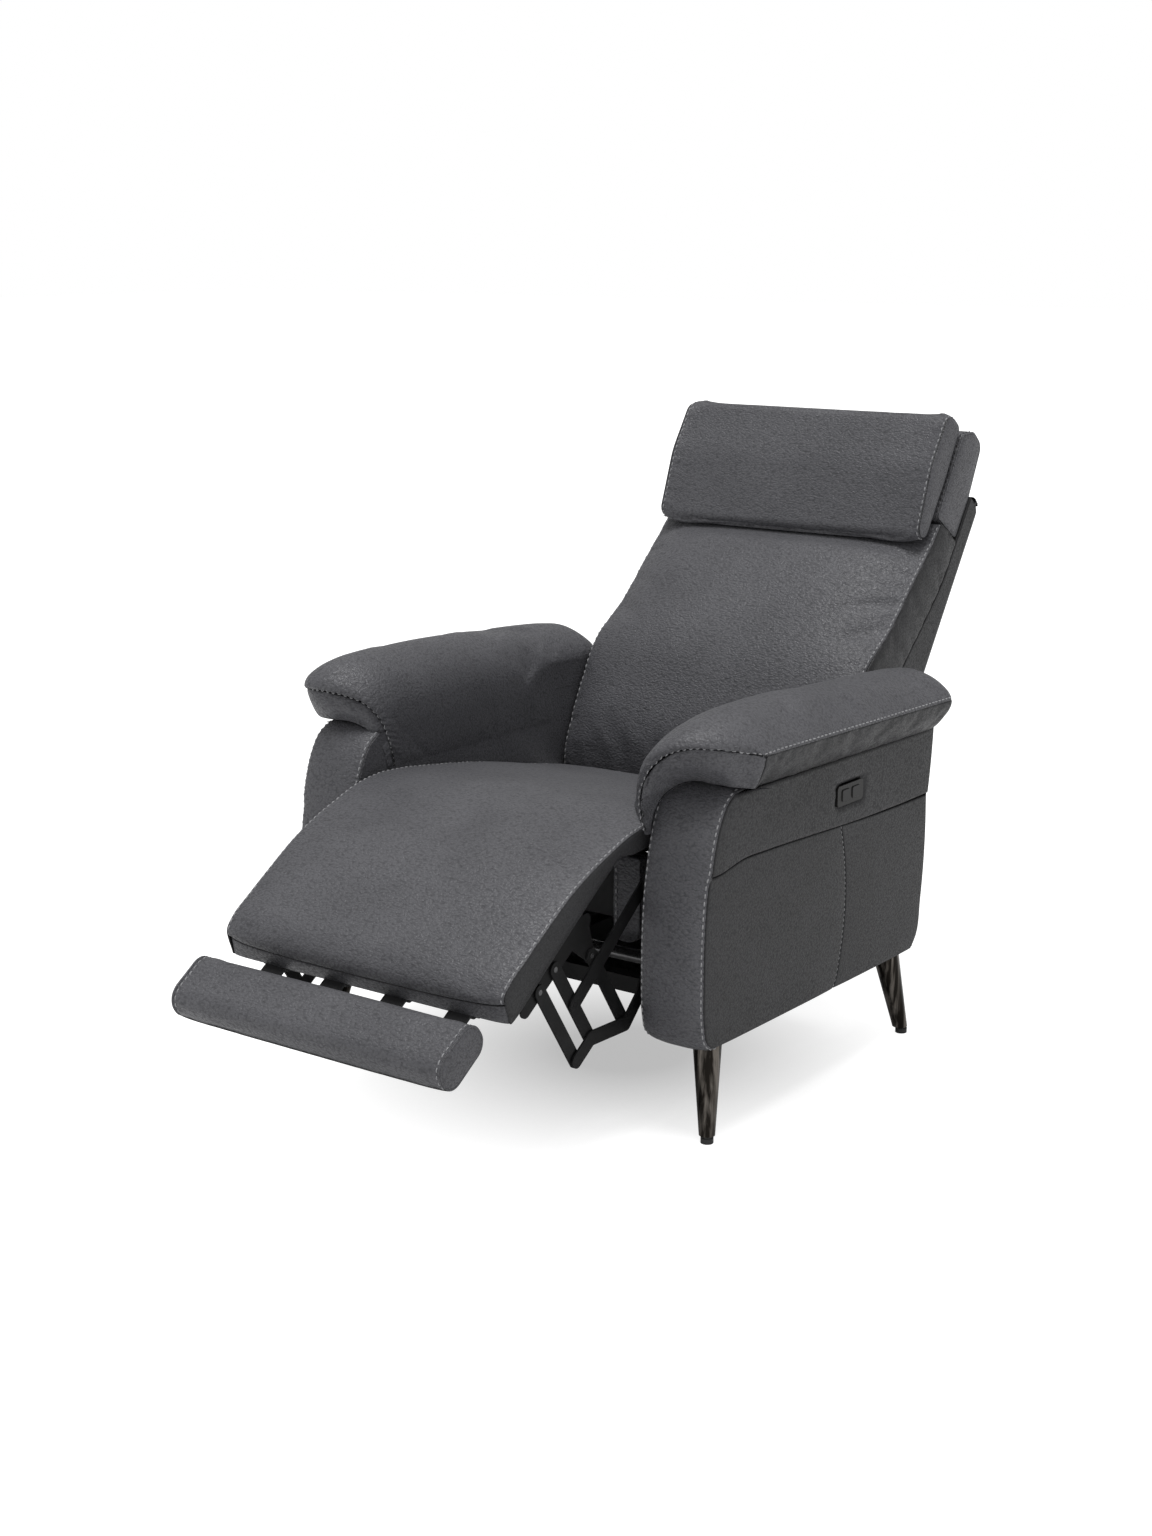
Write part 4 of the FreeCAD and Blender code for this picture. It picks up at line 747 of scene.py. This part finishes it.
seat_panels.append(panel(ruled(seat_top[-1], front_low, 7), (0, -1, 0), "lrb", puff=3.0, reach=8.0,
                         turn=2.4, step=6.0))
under_seat = ruled(upright(low_line, -257), upright(low_line, 257), 8, 1)
seat_panels.append(panel(under_seat, (0, 0, -1), "", step=14.0))
rear_low = upright(np.tile([184, 342], (50, 1)), across_x)
rear_sheet = np.stack([seat_top[0] * (1 - s) + rear_low * s for s in (0, 0.3, 0.6, 1)])
seat_panels.append(panel(rear_sheet, (0, 1, 0), "", step=14.0))
# The side boxings, underside and rear are in the darker flat hide: painted shade.
chaise = sewn_piece("seat_and_legrest_cover", seat_panels, smooth=(1, 2, 4, 5))
thread = stitches("seat_and_legrest_stitching", seam_paths(seat_sheet, "lr"), grey_thread)
for piece in (chaise, thread):
    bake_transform(piece)
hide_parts("seat_cushion", "legrest_cushion")


# ---------------- seat cheeks
# Two small upholstered cheeks stand under the front corners of the seat and hide the side plates. Each
# is a foam-faced board in the same leather, with one stitched seam down its outer side.
def rounded(corners, count):
    """A closed outline through (a, b, radius) corners, starting halfway along the side before the first."""
    corners = [np.array(c, float) for c in corners]
    path = [(corners[-1][:2] + corners[0][:2]) / 2]
    for i, (*_, radius) in enumerate(corners):
        corner = corners[i][:2]
        before = corners[i - 1][:2] - corner
        after = corners[(i + 1) % len(corners)][:2] - corner
        before /= np.linalg.norm(before)
        after /= np.linalg.norm(after)
        half = math.acos(np.clip(before @ after, -1, 1)) / 2
        reach = radius / math.tan(half)
        middle = corner + (before + after) / np.linalg.norm(before + after) * radius / math.sin(half)
        start = corner + before * reach - middle
        end = corner + after * reach - middle
        sweep = math.acos(np.clip(start @ end / max(start @ start, 1e-9), -1, 1))
        for turned in np.linspace(0, sweep, 17):
            arm = math.sin(sweep - turned) * start + math.sin(turned) * end
            path.append(middle + arm / math.sin(sweep))
    path = np.array(path + path[:1])
    keep = np.r_[True, np.linalg.norm(np.diff(path, axis=0), axis=1) > 1e-6]
    return spaced(path[keep], np.linspace(0, 1, count))


def end_patch(ring):
    """A flat sheet filling a closed (a, b) outline, its four edges a quarter of the outline each."""
    quarter = (len(ring) - 1) // 4
    parts = [ring[k * quarter:(k + 1) * quarter + 1] for k in range(4)]
    return stretched(parts[0], parts[2][::-1], parts[3][::-1], parts[1])


CHEEK_FRONT = -231.0


def cheek(side, sign):
    outline = rounded([(176, 395, 4), (224, 395, 6), (224, 263, 22), (176, 263, 14)], 81)
    flat = end_patch(outline)
    face = np.dstack([flat[..., 0], np.full(flat.shape[:2], CHEEK_FRONT), flat[..., 1]])
    loop = np.column_stack([outline[:, 0], np.full(81, CHEEK_FRONT), outline[:, 1]])
    wall = np.stack([loop + (0, depth, 0) for depth in (0, 4, 8, 12, 16.5)])
    turned = np.array([sign, 1, 1])
    parts = [panel(face * turned, (0, -1, 0), "lrbt", puff=4.0, reach=9.0, turn=2.4, step=4.0)]
    for out in ((0, 0, 1), (0, 0, -1)):
        around = panel(wall * turned, out, "b", turn=2.0, step=4.0)
        if np.sum(around[1] * (around[0] - (200.0 * sign, -222.0, 329.0))) > 0:
            break
    parts.append(around)
    cover = sewn_piece("seat_cheek_cover_" + side, parts)
    line = np.array([(184 * sign, CHEEK_FRONT - 4.4, z) for z in np.linspace(278, 388, 20)])
    ahead = np.tile([0.0, -1.0, 0.0], (20, 1))
    thread = stitches("seat_cheek_stitching_" + side, [(line, ahead)], grey_thread)
    ride_in_leather("base", cover, thread)
    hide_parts("seat_cheeks")


for side, sign in (("left", 1), ("right", -1)):
    cheek(side, sign)


# ---------------- footpad
# The flip-out footpad is a foam roll round a board: one wrapped panel closed by a seam low at the front,
# and a flat end sewn in each side over thick piping, topstitched beside the seam.
def roll(ring, half, place, bulge, ease, stations):
    """A stuffed roll: the body's sheet, and its two flat ends with the way each looks."""
    centre = ring[:-1].mean(axis=0)
    rows = []
    for x in np.linspace(-half, half, stations):
        edge = (half - abs(x)) / half
        size = 1 + bulge * 0.01 * (1 - (abs(x) / half) ** 2) - ease * math.exp(-edge * half / 14.0)
        rows.append(place((ring - centre) * size + centre, x))
    flat = end_patch((ring - centre) * (1 - ease) + centre)
    return np.array(rows), [(place(flat, sign * half), sign) for sign in (-1, 1)]


def facing_out(made):
    """A roll's body panel with its normals turned away from the middle."""
    sheet, normal, crease = made
    middle = sheet.mean(axis=(0, 1))
    if np.sum(normal * (sheet - [0, middle[1], middle[2]])) < 0:
        normal = -normal
    return sheet, normal, crease


def tube(name, path, radius):
    """Round leather piping along a closed line that lies across the chair's width."""
    path = path[:-1]
    ahead = np.roll(path, -1, 0) - np.roll(path, 1, 0)
    ahead /= np.linalg.norm(ahead, axis=1, keepdims=True)
    side = np.cross(ahead, (1.0, 0, 0))
    side /= np.linalg.norm(side, axis=1, keepdims=True)
    up = np.cross(side, ahead)
    angles = np.linspace(0, 2 * math.pi, 9)[:-1, None]
    points = path[:, None] + radius * (np.cos(angles) * side[:, None] + np.sin(angles) * up[:, None])
    number = np.arange(len(path) * 8).reshape(len(path), 8)
    beside, following = np.roll(number, -1, 1), np.roll(number, -1, 0)
    faces = np.stack([number, beside, np.roll(beside, -1, 0), following], -1).reshape(-1, 4)
    return mesh_object(name, points.reshape(-1, 3), faces.tolist(), charcoal)


def in_leg(p, x):
    y, z = leg(p[..., 0], p[..., 1])
    return np.stack([np.broadcast_to(x, y.shape), y, z], -1)


foot_ring = rounded([(472, 55, 27), (376, 55, 26), (376, 1, 22), (472, 1, 24)], 121)
foot_ring = np.vstack([foot_ring[-9:-1], foot_ring[:-8]])
foot_body, foot_ends = roll(foot_ring, 248.0, in_leg, bulge=2.0, ease=0.045, stations=50)
foot_body = stuffed(foot_body, (0, -0.01, 0.02), 2.0, 0.002, 1.0)
foot_parts = [facing_out(panel(foot_body, (0, 0, 1), "lrbt", turn=2.2, step=(6.0, 2.8),
                               gathers=puckers("bt", 0.3)))]
for flat, sign in foot_ends:
    foot_parts.append(panel(flat, (sign, 0, 0), "lrbt", puff=5.0, reach=9.0, turn=1.4, step=4.0))
footpad = sewn_piece("footpad_cover", foot_parts)
foot_lines = seam_paths(foot_parts[0], "bt", 7.5)
ride_in_leather("footpad", footpad, stitches("footpad_stitching", foot_lines, grey_thread),
                tube("footpad_piping_left", foot_body[-1] - (0.6, 0, 0), 1.9),
                tube("footpad_piping_right", foot_body[0] + (0.6, 0, 0), 1.9))
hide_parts("footpad_cushion")


# ---------------- back
# The back is a sprung panel with a deep foam cushion in front and a padded shell behind. The front panel
# is crowned and falls away to the side seams, which are topstitched; a plain side strip joins it to the
# shell, whose leather wraps over the top and down the rear.
BACK_HALF = 270.5


def in_back(p, x):
    """Points from (up the back from its hinge, forward of its plane), as it leans at rest."""
    p = np.asarray(p, float)
    t, n = p[..., 0], p[..., 1]
    return np.stack([np.broadcast_to(x, t.shape), 240 - n * math.cos(SLOPE) + t * math.sin(SLOPE),
                     315 + n * math.sin(SLOPE) + t * math.cos(SLOPE)], -1)


crown_back = curve([(50, 40), (66, 54), (130, 77), (205, 86), (281, 89.5), (375, 77), (473, 52),
                    (512, 35), (533, 14), (556, -3), (596, -9)], 62)
seam_back = curve([(50, 30), (66, 40), (130, 58), (205, 68), (278, 70), (374, 36), (475, 13), (530, 0),
                   (560, -6), (596, -10)], 62)
joint_back = curve([(60, -30), (200, -31), (333, -37), (430, -58), (529, -76), (596, -77)], 62)
across_back = np.linspace(-BACK_HALF, BACK_HALF, 52)
share_back = abs(across_back) / BACK_HALF
fall_back = 0.25 * share_back ** 2 + 0.75 * share_back ** 5


def back_row(t, n):
    """One row straight across the back, at height t and depth n."""
    return in_back(np.column_stack([np.full(52, t), np.broadcast_to(n, 52)]), across_back)


front_back = np.array([in_back(crown + (seam - crown) * fall_back[:, None], across_back)
                       for crown, seam in zip(crown_back, seam_back)])
front_back = stuffed(front_back, (0, -1, 0.4), 4.0, 0.015, 7.0)
back_front = panel(front_back, (0, -1, 0.4), "lrt", turn=3.4, step=(2.8, 8.0), gathers=puckers("lr", 0.4))
back_parts = [back_front]
for sign in (-1, 1):
    strip = ruled(in_back(seam_back, sign * BACK_HALF), in_back(joint_back, sign * BACK_HALF), 12, 1)
    strip = stuffed(strip, (sign, 0, 0), 3.0, 0.02, 4.0)
    back_parts.append(panel(strip, (sign, 0, 0), "lr", turn=3.4, puff=0.8, reach=14.0, step=6.5))
top_strip = np.stack([back_row(596 + 3 * math.sin(s * math.pi), -9.5 - 67 * s)
                      for s in np.linspace(0, 1, 8)])
back_parts.append(panel(top_strip, (0, 0, 1), "lrb", turn=2.0, step=10.0))
foot_of_front = crown_back[0, 1] + (seam_back[0, 1] - crown_back[0, 1]) * fall_back
under_strip = np.stack([back_row(50.0 + 12 * s, foot_of_front * (1 - s) - 76 * s)
                        for s in np.linspace(0, 1, 8)])
back_parts.append(panel(under_strip, (0, 0, -1), "", step=14.0))
# The side strips, top strip and underside are in the darker flat hide: painted shade.
back_cover = sewn_piece("back_cover", back_parts, smooth=(1, 2, 3, 4))
back_thread = stitches("back_stitching", seam_paths(back_front, "lr"), grey_thread)

SHELL_REAR = -123.5
SHELL_TOP = 684
SHELL_CORNER = 16
rear_corner = curve([(-108, -BACK_HALF), (-119, 4 - BACK_HALF), (SHELL_REAR, SHELL_CORNER - BACK_HALF)], 12)
shell_rows = []
for t, joint in curve([(62, -30), (200, -31), (333, -37), (430, -58), (529, -77), (600, -77.5),
                       (684, -78)], 66):
    curl = max(0.0, (t - (SHELL_TOP - 16)) / 16.0)
    inward = 14 * (1 - math.sqrt(max(0.0, 1 - curl ** 2)))
    half_row = [(joint + (-108 - joint) * s, -BACK_HALF) for s in np.linspace(0, 1, 7)[:-1]]
    half_row += [(n + inward, x) for n, x in rear_corner]
    span = [(SHELL_REAR - 1.5 * math.sin(math.pi * s) + inward, (BACK_HALF - SHELL_CORNER) * (2 * s - 1))
            for s in np.arange(1, 31) / 31]
    row = np.array(half_row + span + [(n, -x) for n, x in half_row[::-1]])
    shell_rows.append(in_back(np.column_stack([np.full(len(row), t), row[:, 0]]), row[:, 1]))
shell_top = np.stack([back_row(SHELL_TOP + 5 * math.sin(math.pi * s), -78 - 32 * s)
                      for s in np.linspace(0, 1, 8)])
shell_front = np.stack([back_row(t, -77.8) for t in np.linspace(596, SHELL_TOP, 10)])
shell_parts = [panel(np.array(shell_rows), (0, 1, -0.3), "lrt", turn=3.4, step=(9.0, 5.0)),
               panel(shell_top, (0, 0, 1), "bt", turn=2.0, step=6.0),
               panel(shell_front, (0, -1, 0), "lrt", turn=2.0, step=9.0)]
# The whole shell is in the darker flat hide: painted shade on the back's rear.
shell_cover = sewn_piece("back_shell_cover", shell_parts, smooth=(0, 1, 2))
ride_in_leather("back", back_cover, back_thread, shell_cover)
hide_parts("back_cushion")
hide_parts("back_shell")


# ---------------- headrest
# The headrest is a firm block behind and a soft pillow in front, hinged together on the back. The
# block's side edge carries a bold dark stitch, the pillow's side seams a lighter one.
def stuffed_roll(name, ring, half, bulge, ease, filling, thread, piping):
    body, ends = roll(ring, half, in_back, bulge, ease, stations=46)
    body = stuffed(body, (0, -1, 0.4), *filling)
    parts = [facing_out(panel(body, (0, -1, 0.4), "bt", turn=3.2, step=(6.5, 2.8),
                              gathers=puckers("bt", 0.4)))]
    for flat, sign in ends:
        parts.append(panel(flat, (sign, 0, 0), "lrbt", puff=4.5, reach=10.0, turn=2.2, step=5.0))
    cover = sewn_piece(name + "_cover", parts)
    made = [cover, stitches(name + "_stitching", seam_paths(parts[0], "bt"), thread)]
    if piping:
        made += [tube(name + "_piping_left", body[-1], 1.5), tube(name + "_piping_right", body[0], 1.5)]
    ride_in_leather("headrest", *made)
    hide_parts(name)


dark_thread = coated("dark_thread", (0.012, 0.012, 0.013), (0.03, 0.03, 0.032), 0.6, 3000.0, 0.0002)
block_ring = rounded([(601, -75, 4), (683, -76, 20), (778, -62, 20), (781, -22, 16), (759, 8, 8),
                      (600, 0, 3)], 121)
stuffed_roll("headrest_block", block_ring, 266.0, 0.0, 0.03, (2.0, 0.008, 3.0), dark_thread, True)
pillow_ring = rounded([(552, 4, 14), (772, 12, 12), (774, 66, 24), (664, 64, 180), (539, 34, 17)], 131)
stuffed_roll("headrest_pillow", pillow_ring, 260.5, 1.5, 0.06, (4.0, 0.015, 5.0), grey_thread, False)


# ---------------- hand control
# A small satin plastic plate with two rocker buttons sits in the upper band of the left arm.
plate_finish = coated("plate_plastic", (0.015, 0.0148, 0.0145), (0.021, 0.0206, 0.020), 0.3, 900.0, 0.00006,
                      specular=0.2)
button_finish = coated("button_plastic", (0.018, 0.018, 0.018), (0.026, 0.026, 0.026), 0.35, 900.0, 0.00006,
                       specular=0.2)
finish_nodes(plate_finish, "control_plate")
finish_nodes(button_finish, "button_up", "button_down")


# ---------------- floor, light and camera
# A pale sheet runs under the chair. Its glow is weaker close under the chair and stronger away from it: a
# painted shadow beneath the chair that also washes out the real shadow further out. One large soft box
# hangs overhead, a weaker one fills from the right, under a pale grey world.
floor_mesh = bpy.data.meshes.new("floor")
floor_mesh.from_pydata([(-30, -30, 0), (30, -30, 0), (30, 30, 0), (-30, 30, 0)], [], [(0, 1, 2, 3)])
floor = bpy.data.objects.new("floor", floor_mesh)
bpy.context.scene.collection.objects.link(floor)
PALE = 0.82
paper, paper_tree, paper_shader = new_material("floor_paper", (PALE, PALE, PALE), 0.9)
paper_shader.inputs["Specular IOR Level"].default_value = 0.0
seen_floor = node(paper_tree, "LightPath", {}).outputs["Is Camera Ray"]
from_middle = node(paper_tree, "VectorMath", {0: own_metres(paper_tree), 1: (0.05, -0.02, 0.0)},
                   operation="DISTANCE").outputs["Value"]
# Painted shadow: the floor's glow is weakest close under the chair and rises further out.
clear = between(paper_tree, from_middle, 0.46, 0.94, 0.10, 0.46)
glow = node(paper_tree, "Math", {0: seen_floor, 1: clear}, operation="MULTIPLY").outputs["Value"]
tone = node(paper_tree, "MixRGB", {"Fac": seen_floor, "Color1": (PALE, PALE, PALE, 1.0),
                                   "Color2": (0.42, 0.42, 0.42, 1.0)}).outputs["Color"]
paper_tree.links.new(tone, paper_shader.inputs["Base Color"])
paper_shader.inputs["Emission Color"].default_value = (1, 1, 1, 1)
paper_tree.links.new(glow, paper_shader.inputs["Emission Strength"])
floor_mesh.materials.append(paper)


def soft_light(name, direction, power, spread):
    light = bpy.data.lights.new(name, "SUN")
    light.energy = power
    light.angle = math.radians(spread)
    lamp = bpy.data.objects.new(name, light)
    x, y, z = direction
    lamp.rotation_euler = (math.acos(z / np.linalg.norm(direction)), 0.0, math.atan2(y, x) + math.pi / 2)
    bpy.context.scene.collection.objects.link(lamp)


soft_light("key_light", (0.1, -0.4, 3.0), 2.1, 28.0)
soft_light("fill_light", (2.4, -1.8, 1.6), 0.22, 60.0)
world = bpy.data.worlds.new("studio")
world.use_nodes = True
sky = world.node_tree.nodes["Background"]
sky.inputs["Color"].default_value = (1, 1, 1, 1)
seen_sky = node(world.node_tree, "LightPath", {}).outputs["Is Camera Ray"]
strength = between(world.node_tree, seen_sky, 0.44, 1.0, 0.0, 1.0)
world.node_tree.links.new(strength, sky.inputs["Strength"])
bpy.context.scene.world = world
bpy.context.scene.view_settings.view_transform = "Standard"

lens = bpy.data.cameras.new("camera")
lens.sensor_fit = "AUTO"
lens.sensor_width = 36.0
lens.lens = 53.84
lens.clip_end = 100.0
camera = bpy.data.objects.new("camera", lens)
camera.location = (2.0634, -2.8795, 1.2976)
camera.rotation_euler = (math.radians(90 - 13.3883), 0.0, math.radians(36.4495))
bpy.context.scene.collection.objects.link(camera)
bpy.context.scene.camera = camera
